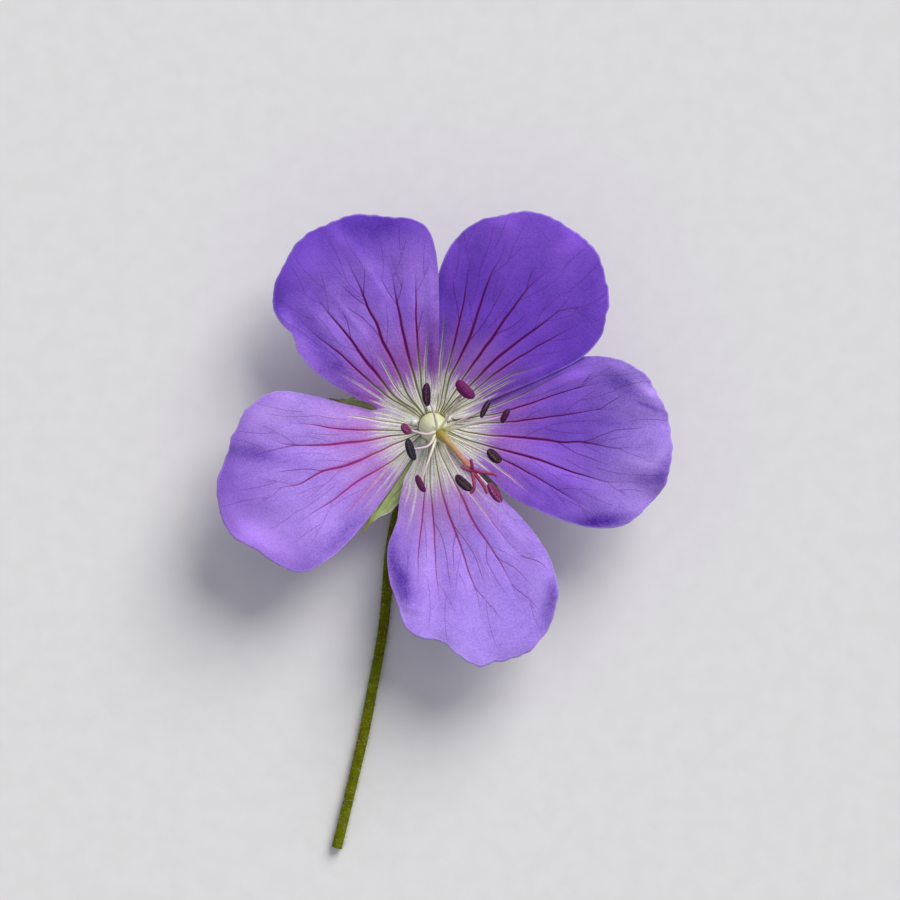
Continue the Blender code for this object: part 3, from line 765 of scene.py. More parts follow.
def veinMarks(x, y, distance, petal):
    # What the finish and the relief need to know about the veins. Far from the eye a line is drawn from its
    # signed gap, which stays sharp between the points of the mesh; close to it the points are dense enough.
    marks = {title: np.zeros(x.shape) for title in ("core", "ripe", "band", "groove")}
    for layer in ("vein", "twig"):
        marks[layer + "Side"] = np.full(x.shape, farOff)
        marks[layer + "Gap"] = np.full(x.shape, farOff)
        marks[layer + "Strength"] = np.zeros(x.shape)
    for kind, line in veinLines(petal):
        widths, strength, turnsAt, bandWidth, bandReach = veinKinds[kind]
        signed, along = lineDistance(x, y, line)
        gap = np.abs(signed)
        halfWidth = np.interp(along, (0.0, 0.45, 1.0), widths)
        if kind in ("main", "side"):
            halfWidth = halfWidth * petal["veinWidth"]
        inside = (along > 0.0) & (along < 1.0)
        # a vein fades over its last third, and the pale band beside it dies away sooner
        visible = strength * (1.0 - ease((along - 0.7) / 0.3) * 0.85) * inside
        layer = "twig" if kind in ("twig", "fork") else "vein"
        if kind != "between":
            nearer = gap < marks[layer + "Gap"]
            found = {"Side": np.clip(signed / halfWidth, -farOff, farOff), "Gap": gap, "Strength": visible}
            for title, values in found.items():
                marks[layer + title] = np.where(nearer, values, marks[layer + title])
        if layer == "twig":
            continue
        groove = visible * np.exp(-(gap / petalShape["grooveHalfWidth"]) ** 2)
        marks["groove"] = np.maximum(marks["groove"], groove)
        ripe = ease((distance - (turnsAt - petal["crimsonFrom"])) / 3.0)
        marks["ripe"] = np.where(gap < marks["veinGap"] + 1e-6, ripe, marks["ripe"])
        marks["core"] = np.maximum(marks["core"], visible * ease(1.5 - gap / halfWidth))
        bandFade = 1.0 - ease((distance - bandReach * 0.45) / (bandReach * 0.55))
        bandFade = bandFade * (1.0 - ease((along - 0.75) / 0.25)) * inside
        marks["band"] = np.maximum(marks["band"], ease(1.5 - gap / bandWidth) * bandFade)
    return marks


def ridges(x, y, rows):
    # smooth oval hills, each as its middle, bearing, half length, half width and height
    total = np.zeros(x.shape)
    for midX, midY, bearing, halfLength, halfWidth, height in rows:
        run = bearingVector(bearing)
        lengthwise = (x - midX) * run[0] + (y - midY) * run[1]
        sideways = (y - midY) * run[0] - (x - midX) * run[1]
        total += height * np.exp(-(lengthwise / halfLength) ** 2 - (sideways / halfWidth) ** 2)
    return total


def shoulder(side, turn, reach, distance):
    # how many degrees one side of the petal spreads, less and less until reach
    return turn * np.clip(side, 0, 1) ** 1.5 * (1.0 - ease((distance - reach * 0.6) / (reach * 0.4)))


def makePetal(name, petal, seed):
    shape = petalShape
    columns, rows = shape["across"], shape["along"]
    rim = smoothLine([(x, y, 0.0) for x, y in petal["outline"]], columns)
    u, v = np.meshgrid(np.linspace(0, 1, columns + 1), np.linspace(0, 1, rows + 1))
    side = 2.0 * u - 1.0
    footBearing = np.radians(petal["claw"] - shape["footSpread"] * side)
    foot = shape["footFromMiddle"] * np.stack([np.cos(footBearing), np.sin(footBearing), 0.0 * u], axis=-1)
    point = foot + (rim[None, :, :] - foot) * v[..., None]
    x, y = point[..., 0], point[..., 1]
    distance = np.hypot(x, y)

    # close to the claw each side spreads to lie over or under its neighbour
    left, right = petal["shoulders"]
    spread = shoulder(-side, *left, distance) - shoulder(side, *right, distance)
    bearing = np.arctan2(y, x) + np.radians(spread) * ease((distance - 1.8) / 0.8)
    x, y = distance * np.cos(bearing), distance * np.sin(bearing)
    inset = np.abs(lineDistance(x, y, rim[::2])[0])

    # the margin waves in and out a little, and the blade is not quite even
    nearRim = 1.0 - ease(inset / 1.4)
    depth = shape["rimNibble"]
    nibble = (depth * waves(x, y, 1.1, seed) + depth * waves(x, y, 2.6, seed + 1)) * nearRim / distance
    x, y = x * (1.0 + nibble), y * (1.0 + nibble)
    marks = veinMarks(x, y, distance, petal)

    z = petalHeight(u, distance, petal)
    blade = ease((distance - 5.0) / 8.0)
    z += shape["rimWave"] * waves(x, y, 3.4, seed + 2) * nearRim * blade
    z += shape["bladeWave"] * waves(x, y, 4.5, seed + 3) * blade
    pillow = ease(np.minimum(marks["veinGap"], 3.0) / 1.5) * blade * (1.0 - 0.7 * nearRim)
    z += shape["pillowHeight"] * (pillow - 0.4)
    z += ridges(x, y, petal["ripples"])

    groove = marks.pop("groove") * ease((distance - 2.0) / 3.0)
    half = shape["rimThickness"] / 2
    half = half + (shape["thickness"] / 2 - half) * ease(inset / 0.9)
    top = np.stack([x, y, z + half - shape["grooveDepth"] * groove], axis=-1)
    bottom = np.stack([x, y, z - half - shape["grooveDepth"] * 1.2 * groove], axis=-1)
    # painted shade and light: soft patches that darken the violet, or lighten it below 0
    marks["deep"] = ridges(x, y, petal["patches"])
    marks["distance"] = distance
    marks["inset"] = inset
    piece = sheetPiece(name, top, bottom, petalFinish(name, petal), np.stack([u, v], axis=-1), marks)
    return standFor(piece, "petal", name)


petalColours = {
    "eye": paint(254, 254, 247),
    "eyeShade": paint(206, 202, 188),
    "band": paint(248, 244, 230),
    "footVein": paint(100, 102, 48),
    "tipVein": paint(108, 50, 128),
    "twigVein": paint(92, 34, 118),
    "halo": paint(200, 80, 176),
    # a painted highlight along the margin
    "rimHighlight": paint(190, 162, 240),
    "underside": paint(172, 152, 214),
}


def petalFinish(name, petal):
    # violet blade, cream eye, a pink flush round it, and veins that turn from olive to crimson to violet
    tone = petalColours
    # each petal's tones carry painted shade and light as well as its violet
    blade, shaded, tip = petal["tones"]
    finish = Finish(name.replace("petal", "violetPetal"), 0.62, Sheen_Weight=0.06, Sheen_Roughness=0.5,
                    Specular_IOR_Level=0.15)
    distance = finish.mark("distance")
    deep = finish.mark("deep")
    streaks = finish.speckle(1.0, 3.0, 0.6, (70.0, 3.0, 1.0))
    drift = finish.speckle(0.22)
    clouds = finish.speckle(1.0, 3.0)
    grain = finish.speckle(5.2, 3.0, 0.8)

    def line(layer):
        sharp = 1.0 - finish.mark(layer + "Side").absolute().between(0.5, 1.4)
        close = 1.0 - finish.mark(layer + "Gap").between(0.2, 0.34)
        return sharp * finish.mark(layer + "Strength") * close

    outer = distance.between(6.5, 8.5)
    core = line("vein") * outer + finish.mark("core") * (1.0 - outer)
    twig = line("twig") * distance.between(4.0, 7.0)

    ragged = distance + (streaks - 0.5) * 5.0
    flush, flushDepth = petal["flush"]
    eye = finish.blend(streaks.between(0.35, 0.65), tone["eye"], tone["eyeShade"])
    near = finish.mark("veinStrength") * (1.0 - finish.mark("veinGap").between(0.0, 0.6))
    haloReach = distance.between(3.5, 6.0) * (1.0 - distance.between(9.0, 14.0))
    frayed = distance.between(6.0, 9.0) * (1.0 - streaks.between(0.35, 0.55))
    band = finish.mark("band") * (1.0 - frayed * 0.7)
    colour = finish.layers(
        finish.blend(drift.between(0.35, 0.65), blade, shaded),
        (distance.between(14.0, 22.0), tip),
        ((1.0 - ragged.between(5.0, 13.0)) * flushDepth, flush),
        (1.0 - ragged.between(*petal["eye"]), eye),
        (near * haloReach * finish.mark("ripe") * petal["halo"], tone["halo"]),
        (band * 0.9, tone["band"]))

    broad = finish.speckle(1.0, stretch=(16.0, 1.6, 1.0))
    fibre = (streaks - 0.5) * (0.35 - distance.between(8.0, 14.0) * 0.2) + (broad - 0.5) * 0.25
    fine = fibre + (grain - 0.5) * 1.15 + (clouds - 0.5) * 0.3
    # fine grain darkens and lightens the colour, and so does the painted shade and light of the patches
    shading = {0: fine - deep * 0.85 + 1.0, 1: fine - deep + 1.0, 2: fine * 0.6 - deep * 0.55 + 1.0}
    colour = finish.blend(1.0, colour, finish.node("CombineColor", None, shading), "MULTIPLY")
    twigColour = finish.blend(0.5, tone["twigVein"], petal["crimson"])
    veinColour = finish.blend(finish.mark("ripe"), tone["footVein"], petal["crimson"])
    # a painted highlight along the margin, stronger further out
    rim = (1.0 - finish.mark("inset").between(0.02, 0.2)) * (distance.between(11.0, 17.0) * 0.4 + 0.12)
    colour = finish.layers(
        colour,
        (twig * 0.8 * petal["veinDepth"], twigColour),
        (core * petal["veinDepth"], finish.blend(distance.between(14.0, 19.0), veinColour, tone["tipVein"])),
        (rim, tone["rimHighlight"]),
        (finish.mark("underside") * 0.55, tone["underside"]))
    relief = finish.speckle(12.0, 1.0) + grain * 1.5 + fibre * 3.0 - twig * 0.8 - core * 0.8
    return finish.done(colour, 0.5 + grain * 0.2, relief, 0.035)


print("petals: five blades with their veins")
for number, (name, petal) in enumerate(petals.items()):
    makePetal(name, petal, 20 + 10 * number)


# Sepals

sepalShape = {
    "rootFromMiddle": 1.48,
    "rootHeight": 3.78,
    "halfWidths": [  # place along the sepal, half its width there
        (0.0, 0.62), (0.25, 1.6), (0.45, 1.85), (0.68, 1.3), (0.84, 0.42), (0.9, 0.15), (1.0, 0.09),
    ],
    "widest": 1.85,
    "cup": 0.28,
    "dropPower": 1.7,
    "thickness": 0.16,
    "bristleRadius": 0.09,
    "ribs": [(-0.72, 0.5), (-0.38, 0.8), (0.0, 1.0), (0.38, 0.8), (0.72, 0.5)],
    "ribHeight": 0.07,
    "ribHalfWidth": 0.09,
    "across": 48,
    "along": 96,
}
# Bearing, length from root to bristle point, and height of the point above the ground
sepals = [(237.0, 11.2, 4.6), (314.0, 9.2, 4.3), (24.0, 9.2, 0.13), (88.0, 9.2, 0.13), (165.0, 9.3, 0.13)]


def sepalFinish():
    finish = Finish("paleGreenSepal", 0.6, Sheen_Weight=0.15, Specular_IOR_Level=0.35)
    along = finish.node("SeparateXYZ", None, {0: finish.ownMap()}, 1)
    mottle = finish.speckle(1.6, 3.0, 0.6)
    fine = finish.speckle(1.0, stretch=(26.0, 4.0, 1.0))
    colour = finish.layers(
        finish.blend(mottle.between(0.3, 0.7), paint(172, 196, 96), paint(200, 214, 136)),
        (fine.between(0.45, 0.65) * 0.75, paint(232, 238, 194)),
        (finish.mark("rib") * 0.7, paint(126, 152, 60)),
        (finish.mark("side").between(0.78, 0.95) * 0.9, paint(232, 230, 208)),
        (along.between(0.8, 0.9), paint(158, 162, 84)))
    return finish.done(colour, 0.5 + mottle * 0.25, finish.speckle(7.0) + fine, 0.03)


def makeSepal(name, bearing, length, pointHeight, finish):
    shape = sepalShape
    side, v = np.meshgrid(np.linspace(-1, 1, shape["across"] + 1), np.linspace(0, 1, shape["along"] + 1))
    halfWidth = easedTable(shape["halfWidths"], v)
    point = bearingVector(bearing) * (shape["rootFromMiddle"] + length * v)[..., None]
    point = point + bearingVector(bearing + 90.0) * (halfWidth * side)[..., None]
    drop = (shape["rootHeight"] - pointHeight) * v ** shape["dropPower"]
    z = shape["rootHeight"] - drop + shape["cup"] * side ** 2 * halfWidth / shape["widest"]
    rib = np.zeros(v.shape)
    for place, strength in shape["ribs"]:
        gap = np.abs(side - place) * halfWidth
        rib = np.maximum(rib, strength * ease(1.0 - gap / (2 * shape["ribHalfWidth"])))
    rib *= 1.0 - ease((v - 0.72) / 0.14)
    # thin at the edges, and round in the bristle point
    half = shape["thickness"] / 2 * (0.45 + 0.55 * ease((1.0 - np.abs(side)) / 0.25))
    half = np.maximum(half, shape["bristleRadius"] * ease((v - 0.86) / 0.06))
    z = z + 0.02 * waves(side * 2.0, v * length, 1.2, 71)
    top = np.dstack([point[..., 0], point[..., 1], z + half + 0.4 * shape["ribHeight"] * rib])
    bottom = np.dstack([point[..., 0], point[..., 1], z - half - shape["ribHeight"] * rib])
    bottom[..., 2] = np.maximum(bottom[..., 2], 0.005)  # just off the ground
    marks = {"rib": rib, "side": np.abs(side), "hairy": 0.15 + 0.85 * ease((np.abs(side) - 0.6) / 0.3)}
    uv = np.stack([side * 0.5 + 0.5, v], axis=-1)
    return standFor(sheetPiece(name, top, bottom, finish, uv, marks), "sepal", name)


print("sepals: five, with ribs, pale edges and bristle points")
sepalGreen = sepalFinish()
sepalPieces = [makeSepal(f"sepal_{number}", *sepal, sepalGreen) for number, sepal in enumerate(sepals, 1)]


# Hairs and pollen, scattered over a surface with Geometry Nodes

def scatterTree(name, grain):
    # hairs are thin cones and pollen grains are small balls
    tree = bpy.data.node_groups.new(name, "GeometryNodeTree")
    face = tree.interface
    face.new_socket("Geometry", in_out="INPUT", socket_type="NodeSocketGeometry")
    for title in ("Density", "Length", "Thickness", "Spread"):
        face.new_socket(title, in_out="INPUT", socket_type="NodeSocketFloat")
    face.new_socket("Seed", in_out="INPUT", socket_type="NodeSocketInt")
    face.new_socket("Where", in_out="INPUT", socket_type="NodeSocketString")
    face.new_socket("Material", in_out="INPUT", socket_type="NodeSocketMaterial")
    face.new_socket("Geometry", in_out="OUTPUT", socket_type="NodeSocketGeometry")

    def add(kind, settings=None, sockets=None):
        made = tree.nodes.new(kind)
        for title, value in (settings or {}).items():
            setattr(made, title, value)
        for title, value in (sockets or {}).items():
            socket = made.inputs[title]
            if isinstance(value, bpy.types.NodeSocket):
                tree.links.new(value, socket)
            else:
                socket.default_value = value
        return made

    given = add("NodeGroupInput").outputs
    places = add("GeometryNodeInputNamedAttribute", {"data_type": "FLOAT"}, {"Name": given["Where"]})
    density = add("ShaderNodeMath", {"operation": "MULTIPLY"}, {0: places.outputs[0], 1: given["Density"]})
    points = add("GeometryNodeDistributePointsOnFaces", None, {
        "Mesh": given["Geometry"], "Density": density.outputs[0], "Seed": given["Seed"]})
    if grain:
        shape = add("GeometryNodeMeshIcoSphere", None, {"Radius": given["Thickness"], "Subdivisions": 1})
    else:
        shape = add("GeometryNodeMeshCone", {"fill_type": "TRIANGLE_FAN"}, {
            "Vertices": 4, "Side Segments": 2, "Radius Top": 0.0, "Radius Bottom": given["Thickness"],
            "Depth": given["Length"]})
    lean = add("FunctionNodeRandomValue", {"data_type": "FLOAT_VECTOR"}, {
        0: (-1.0, -1.0, -1.0), 1: (1.0, 1.0, 1.0), "Seed": 3})
    spread = add("ShaderNodeVectorMath", {"operation": "SCALE"}, {
        0: lean.outputs[0], "Scale": given["Spread"]})
    heading = add("ShaderNodeVectorMath", {"operation": "ADD"}, {
        0: points.outputs["Normal"], 1: spread.outputs[0]})
    turn = add("FunctionNodeAlignRotationToVector", {"axis": "Z"}, {"Vector": heading.outputs[0]})
    size = add("FunctionNodeRandomValue", {"data_type": "FLOAT"}, {2: 0.55, 3: 1.15, "Seed": 5})
    copies = add("GeometryNodeInstanceOnPoints", None, {
        "Points": points.outputs["Points"], "Instance": shape.outputs["Mesh"],
        "Rotation": turn.outputs[0], "Scale": size.outputs[1]})
    real = add("GeometryNodeRealizeInstances", None, {"Geometry": copies.outputs[0]})
    painted = add("GeometryNodeSetMaterial", None, {
        "Geometry": real.outputs[0], "Material": given["Material"]})
    add("NodeGroupOutput", None, {"Geometry": painted.outputs[0]})
    return tree


hairTree = scatterTree("hairs over a skin", False)
grainTree = scatterTree("grains over a skin", True)


# Each coat's density to the square millimetre, and its hairs' or grains' length, thickness and spread
coats = {
    "stemHairs": (13.0, 0.5, 0.02, 0.5),
    "sepalHairs": (2.2, 0.3, 0.012, 0.5),
    "styleHairs": (9.0, 0.16, 0.009, 0.4),
    "pollen": (70.0, 0.04, 0.035, 0.2),
    "tuft": (90.0, 0.3, 0.02, 0.5),
}


def scatter(name, carrier, slot, coat, seed, finish):
    holder = addObject(name + "_holder", carrier.data.copy())
    growth = holder.modifiers.new("growth", "NODES")
    tree = grainTree if coat == "pollen" else hairTree
    growth.node_group = tree
    density, length, thickness, spread = coats[coat]
    given = {"Density": density / mm ** 2, "Length": length * mm, "Thickness": thickness * mm,
             "Spread": spread, "Seed": seed, "Where": "hairy", "Material": finish}
    for item in tree.interface.items_tree:
        if item.in_out == "INPUT" and item.name in given:
            growth[item.identifier] = given[item.name]
    view = bpy.context.evaluated_depsgraph_get()
    mesh = bpy.data.meshes.new_from_object(holder.evaluated_get(view))
    bpy.data.objects.remove(holder, do_unlink=True)
    mesh.name = name
    mesh.shade_smooth()
    if not mesh.materials:
        mesh.materials.append(finish)
    for vertex in mesh.vertices:
        vertex.co.z = max(vertex.co.z, 0.0)  # nothing reaches into the ground
    return standFor(addObject(name, mesh), slot)


def hairFinish(name, root, tip):
    return softMix(Finish(name, 0.45, Specular_IOR_Level=0.4), 2.0, (root, tip), 0.35, 0.2)


# Stem

stemShape = {
    "radius": 0.53,
    "route": [  # centre line on the ground, from the cut end to the foot of the bend
        (-9.6, -42.4), (-8.2, -36.6), (-6.9, -31.0), (-5.9, -25.8), (-5.0, -20.8), (-4.55, -16.6),
        (-4.25, -12.8), (-3.55, -8.9), (-2.5, -5.9),
    ],
    "bend": [  # from the ground up to the receptacle: out along the stem's bearing, height
        (4.2, 0.62), (2.7, 0.98), (1.45, 1.66), (0.55, 2.35), (0.0, 3.05),
    ],
    "bearing": 247.0,
    "receptacle": [(3.35, 0.72), (3.55, 1.0), (3.75, 1.22), (3.95, 1.28), (4.08, 1.26)],  # height, radius
    "steps": 300,
    "sides": 40,
    "ridges": 7,
    "ridgeDepth": 0.018,
    "waist": 0.035,
    "receptacleSteps": 12,
    # share of the radius, and how far inwards
    "cutRings": [(0.2, 0.05), (0.4, 0.03), (0.62, 0.01), (0.8, 0.02), (0.94, -0.03)],
}


def stemFinish():
    finish = Finish("oliveStem", 0.6, Specular_IOR_Level=0.04)
    mottle = finish.speckle(0.9, 4.0, 0.6)
    streaks = finish.speckle(1.0, 3.0, stretch=(14.0, 6.0, 1.0))
    pith = finish.blend(finish.cells(3.6).between(0.2, 0.5), paint(150, 160, 92), paint(186, 194, 132))
    colour = finish.layers(
        finish.blend(mottle.between(0.3, 0.7), paint(84, 98, 0), paint(110, 122, 0)),
        (streaks.between(0.45, 0.75) * 0.6, paint(132, 90, 6)),
        (finish.speckle(5.0).between(0.6, 0.75) * 0.4, paint(130, 134, 56)),
        (finish.mark("crown"), paint(214, 214, 168)),
        (finish.mark("cut"), pith))
    return finish.done(colour, 0.42 + mottle * 0.2, streaks + finish.speckle(6.0), 0.03)


def makeStem():
    shape = stemShape
    radius, sides = shape["radius"], shape["sides"]
    onGround = [(x, y, radius) for x, y in shape["route"]]
    bend = [bearingVector(shape["bearing"], out) + (0, 0, height) for out, height in shape["bend"]]
    points = smoothLine(np.vstack([onGround, bend]), shape["steps"])
    points[:, 2] = np.maximum(points[:, 2], radius)
    # the stalk is not quite even, and ends in the receptacle's rings, one above the other
    run = np.linspace(0, 1, len(points))
    waist = shape["waist"] * (0.5 + 0.5 * np.sin(run * 17.0)) * ease(run / 0.05) * ease((0.95 - run) / 0.1)
    heights = np.linspace(shape["receptacle"][0][0], shape["receptacle"][-1][0], shape["receptacleSteps"])
    points = np.vstack([points, np.stack([0.0 * heights, 0.0 * heights, heights], axis=1)])
    radii = np.concatenate([radius * (1.0 - waist), easedTable(shape["receptacle"], heights)])
    turn = turns(sides)
    ridge = 1.0 - shape["ridgeDepth"] * (0.5 + 0.5 * np.cos(turn * shape["ridges"]))
    tangents, around = spokes(points, (0.0, 0.0, 1.0), turn)
    rings = points[:, None, :] + around * (radii[:, None] * ridge[None, :])[..., None]
    face = []
    for share, inwards in shape["cutRings"]:
        face.append(points[0] + around[0] * (radius * share * ridge)[:, None] + tangents[0] * inwards)
    rings = np.concatenate([np.array(face), rings])
    rings[..., 2] = np.maximum(rings[..., 2], 0.0)
    cut = np.zeros(rings.shape[:2])
    cut[:len(face)] = 1.0
    crown = allRound(ease((rings[..., 2].mean(axis=1) - 3.5) / 0.3), sides)
    stem = loftPiece("stem", rings, stemFinish(), cut=cut, crown=crown, hairy=(1.0 - cut) * (1.0 - crown))
    return standFor(stem, "stem", "stem")


print("stem: ridged stalk with a clean cut, and its hairs")
stem = makeStem()
skinHairs = hairFinish("stemHairPale", paint(190, 192, 140), paint(226, 226, 196))
scatter("stem_hairs", stem, "stem", "stemHairs", 4, skinHairs)
for number, sepal in enumerate(sepalPieces, 1):
    scatter(f"sepal_hairs_{number}", sepal, "sepal", "sepalHairs", number, skinHairs)


# Pistil: the ovary leans over, the style carries on, and five stigma lobes open at its tip

pistilShape = {
    "ovaryFoot": np.array((0.0, 0.0, 4.26)),
    "ovaryTop": np.array((0.79, -0.70, 7.0)),
    "leanPower": 1.6,
    "ovaryRadii": [(0.0, 0.8), (0.2, 0.98), (0.45, 1.0), (0.7, 0.8), (0.88, 0.56), (1.0, 0.44)],
    "style": [(1.45, -1.45, 8.2), (2.3, -2.42, 9.7), (3.15, -3.42, 11.3), (3.97, -4.37, 12.8)],
    "styleRadius": 0.31,
    "styleFlare": 0.14,
    "ovarySteps": 46,
    "styleSteps": 60,
    "sides": 40,
    "lobeDepth": 0.05,
    "stigmaRadius": 0.19,
    "stigmaBumps": 0.07,
    "stigmaSteps": 34,
    "stigmaSides": 24,
    "lobes": [
        [(3.95, -4.3, 12.75), (3.95, -3.9, 13.25), (3.82, -3.25, 13.5)],
        [(3.95, -4.35, 12.75), (3.5, -4.3, 13.25), (2.83, -4.02, 13.45)],
        [(4.0, -4.37, 12.75), (5.0, -4.6, 13.2), (6.0, -4.72, 13.2), (6.46, -4.95, 12.95)],
        [(3.95, -4.42, 12.7), (4.1, -5.3, 13.1), (4.15, -6.2, 13.1), (3.75, -6.7, 12.9)],
        [(4.0, -4.42, 12.7), (4.7, -5.3, 13.05), (5.2, -6.1, 13.0), (5.42, -6.72, 12.75)],
    ],
}


def ovaryAxis(share):
    shape = pistilShape
    share = np.asarray(share, float)
    lean = share ** shape["leanPower"]
    foot, top = shape["ovaryFoot"], shape["ovaryTop"]
    return np.stack([foot[0] + (top[0] - foot[0]) * lean, foot[1] + (top[1] - foot[1]) * lean,
                     foot[2] + (top[2] - foot[2]) * share], axis=-1)


def pistilFinish():
    finish = Finish("pistilCreamToSalmon", 0.5, Specular_IOR_Level=0.4)
    mottle = finish.speckle(3.0, 3.0)
    colour = finish.node("ValToRGB", {"stops": [
        (0.0, paint(206, 212, 150)), (0.32, paint(204, 206, 136)), (0.42, paint(164, 152, 54)),
        (0.5, paint(180, 154, 68)), (0.68, paint(192, 148, 92)), (0.88, paint(196, 132, 108)),
        (1.0, paint(182, 92, 104)),
    ]}, {0: finish.mark("height")})
    colour = finish.blend(mottle.between(0.45, 0.7) * 0.3, colour, paint(226, 204, 150))
    return finish.done(colour, 0.42 + mottle * 0.2, finish.speckle(10.0), 0.03)


def stigmaFinish():
    finish = Finish("stigmaCrimson", 0.55, Specular_IOR_Level=0.4)
    mottle = finish.speckle(3.5, 3.0)
    warts = finish.cells(9.0)
    colour = finish.layers(
        finish.blend(mottle.between(0.35, 0.65), paint(140, 42, 86), paint(168, 62, 104)),
        ((1.0 - warts.between(0.1, 0.45)) * 0.4, paint(200, 104, 140)))
    return finish.done(colour, 0.45 + mottle * 0.2, 1.0 - warts, 0.05)


def makePistil():
    shape = pistilShape
    share = np.linspace(0, 1, shape["ovarySteps"])
    ovary = ovaryAxis(share)
    style = smoothLine([shape["ovaryTop"], *shape["style"]], shape["styleSteps"])[1:]
    points = np.vstack([ovary, style])
    flare = shape["styleFlare"] * np.exp(-np.linspace(0, 7, len(style)))
    radii = np.concatenate([easedTable(shape["ovaryRadii"], share), shape["styleRadius"] + flare])
    turn = turns(shape["sides"])
    swell = np.concatenate([np.ones(len(ovary)), np.linspace(1.0, 0.5, len(style))])
    lobes = 1.0 - shape["lobeDepth"] * swell[:, None] * (0.5 - 0.5 * np.cos(turn[None, :] * 5))
    around = spokes(points, (1.0, 0.0, 0.0), turn)[1]
    rings = points[:, None, :] + around * (radii[:, None] * lobes)[..., None]
    height = allRound(np.linspace(0, 1, len(points)), shape["sides"])
    piece = loftPiece("pistil", rings, pistilFinish(), height=height, hairy=np.where(height > 0.4, 1.0, 0.7))
    return standFor(piece, "pistil", "pistil")


def makeStigma(number, route, finish):
    # one warty lobe that tapers to a round end
    shape = pistilShape
    line = smoothLine(route, shape["stigmaSteps"])
    run = np.linspace(0, 1, len(line))
    radius = shape["stigmaRadius"] * (1.05 - 0.28 * run)
    radius *= np.sqrt(np.clip(1.0 - ((run - 0.86) / 0.14).clip(0) ** 2, 0.02, 1.0))
    turn = turns(shape["stigmaSides"])
    bumps = 1.0 + shape["stigmaBumps"] * waves(run[:, None] * 12.0, turn[None, :], 1.5, number)
    around = spokes(line, (0.0, 0.0, 1.0), turn)[1]
    rings = line[:, None, :] + around * (radius[:, None] * bumps)[..., None]
    return standFor(loftPiece(f"stigma_{number}", rings, finish, hairy=np.ones(rings.shape[:2])), "pistil")


print("pistil: ovary, style and five stigma lobes")
pistil = makePistil()
crimson = stigmaFinish()
for number, route in enumerate(pistilShape["lobes"], 1):
    makeStigma(number, route, crimson)
styleHairs = hairFinish("styleHairPale", paint(226, 214, 190), paint(240, 234, 222))
scatter("pistil_hairs", pistil, "pistil", "styleHairs", 9, styleHairs)


# Stamens

filamentShape = {
    "hug": [  # share of the ovary's height, distance from its axis, half its breadth, half its thickness
        (0.0, 1.18, 0.47, 0.15), (0.25, 1.26, 0.52, 0.15), (0.5, 1.22, 0.52, 0.15), (0.75, 1.02, 0.46, 0.14),
        (0.9, 0.78, 0.32, 0.12), (1.0, 0.58, 0.15, 0.12),
    ],
    "threadRadius": 0.14,
    "threadTaper": 0.04,
    "kneeRise": 0.35,
    "tipGap": 0.16,
    "spanSteps": 12,
    "sides": 16,
    "bows": {9: (0.5, -0.35), 10: (0.45, -0.35), 1: (0.12, 0.0)},  # how far a thread's middle is drawn aside
}
antherShape = {
    "rows": 48,
    "sides": 44,
    "bluntness": 2.6,
    "slitHalfWidth": 0.30,
    "backHalfWidth": 0.34,
    "backDepth": 0.22,
    "cleft": 0.34,
    "clefts": {2: 0.1, 4: 0.16, 8: 0.16},  # anthers that have barely opened
    "bow": 0.10,
    "lumps": 0.035,
}
# Foot's bearing, middle of the anther, bearing of its long axis, length, width, thickness, and its colours:
# the valves, and the pollen between them
stamens = [
    (125.0, (-0.50, 3.10, 10.0), 92.0, 2.3, 0.8, 0.7, paint(42, 14, 50), paint(122, 66, 50)),
    (89.0, (3.28, 3.58, 9.8), 135.0, 2.4, 1.1, 0.8, paint(104, 14, 88), paint(138, 40, 112)),
    (53.0, (5.27, 1.69, 9.6), 63.0, 2.0, 0.55, 0.7, paint(44, 18, 48), paint(138, 100, 108)),
    (17.0, (7.25, 0.99, 9.3), 62.0, 1.6, 0.6, 0.6, paint(64, 8, 54), paint(90, 20, 72)),
    (341.0, (6.16, -2.98, 9.2), 137.0, 1.8, 0.95, 0.7, paint(40, 16, 42), paint(158, 108, 48)),
    (269.0, (3.13, -5.66, 9.6), 137.0, 2.2, 0.9, 0.75, paint(44, 22, 44), paint(122, 84, 66)),
    (305.0, (6.21, -6.60, 9.5), 123.0, 2.3, 0.85, 0.7, paint(120, 34, 92), paint(196, 128, 156)),
    (233.0, (-1.14, -5.71, 9.2), 116.0, 1.9, 0.65, 0.6, paint(88, 8, 68), paint(112, 28, 90)),
    (197.0, (-2.09, -2.33, 9.8), 108.0, 2.3, 0.8, 0.75, paint(32, 24, 46), paint(92, 82, 62)),
    (161.0, (-2.53, -0.30, 10.1), 132.0, 1.3, 0.8, 0.8, paint(122, 44, 92), paint(176, 96, 132)),
]


def hugPoint(bearing, share, out):
    # a point beside the ovary's leaning axis, square to it, on the side of the bearing
    along = ovaryAxis(share + 0.01) - ovaryAxis(share)
    along = along / np.linalg.norm(along)
    side = bearingVector(bearing)
    side = side - along * np.dot(side, along)
    return ovaryAxis(share) + side / np.linalg.norm(side) * out


def filamentFinish():
    finish = Finish("filamentBlush", 0.45, Specular_IOR_Level=0.45)
    mottle = finish.speckle(3.0)
    colour = finish.node("ValToRGB", {"stops": [
        (0.0, paint(206, 212, 124)), (0.25, paint(238, 242, 182)), (0.5, paint(250, 252, 214)),
        (0.6, paint(232, 212, 206)), (1.0, paint(214, 182, 196)),
    ]}, {0: finish.mark("along")})
    colour = finish.blend(mottle.between(0.4, 0.7) * 0.3, colour, paint(240, 234, 218))
    return finish.done(colour, 0.4 + mottle * 0.15)


def antherFinish(number, valve, pollen):
    finish = Finish(f"antherValves{number}", 0.5, Specular_IOR_Level=0.28)
    grain = finish.cells(11.0)
    mottle = finish.speckle(4.0, 3.0)
    colour = finish.layers(
        valve,
        (mottle.between(0.35, 0.7) * 0.5, lighter(valve)),
        (finish.mark("slit"), finish.blend(grain.between(0.1, 0.6), pollen, valve)))
    return finish.done(colour, 0.45 + mottle * 0.2, mottle + (1.0 - grain) * 0.8, 0.04)


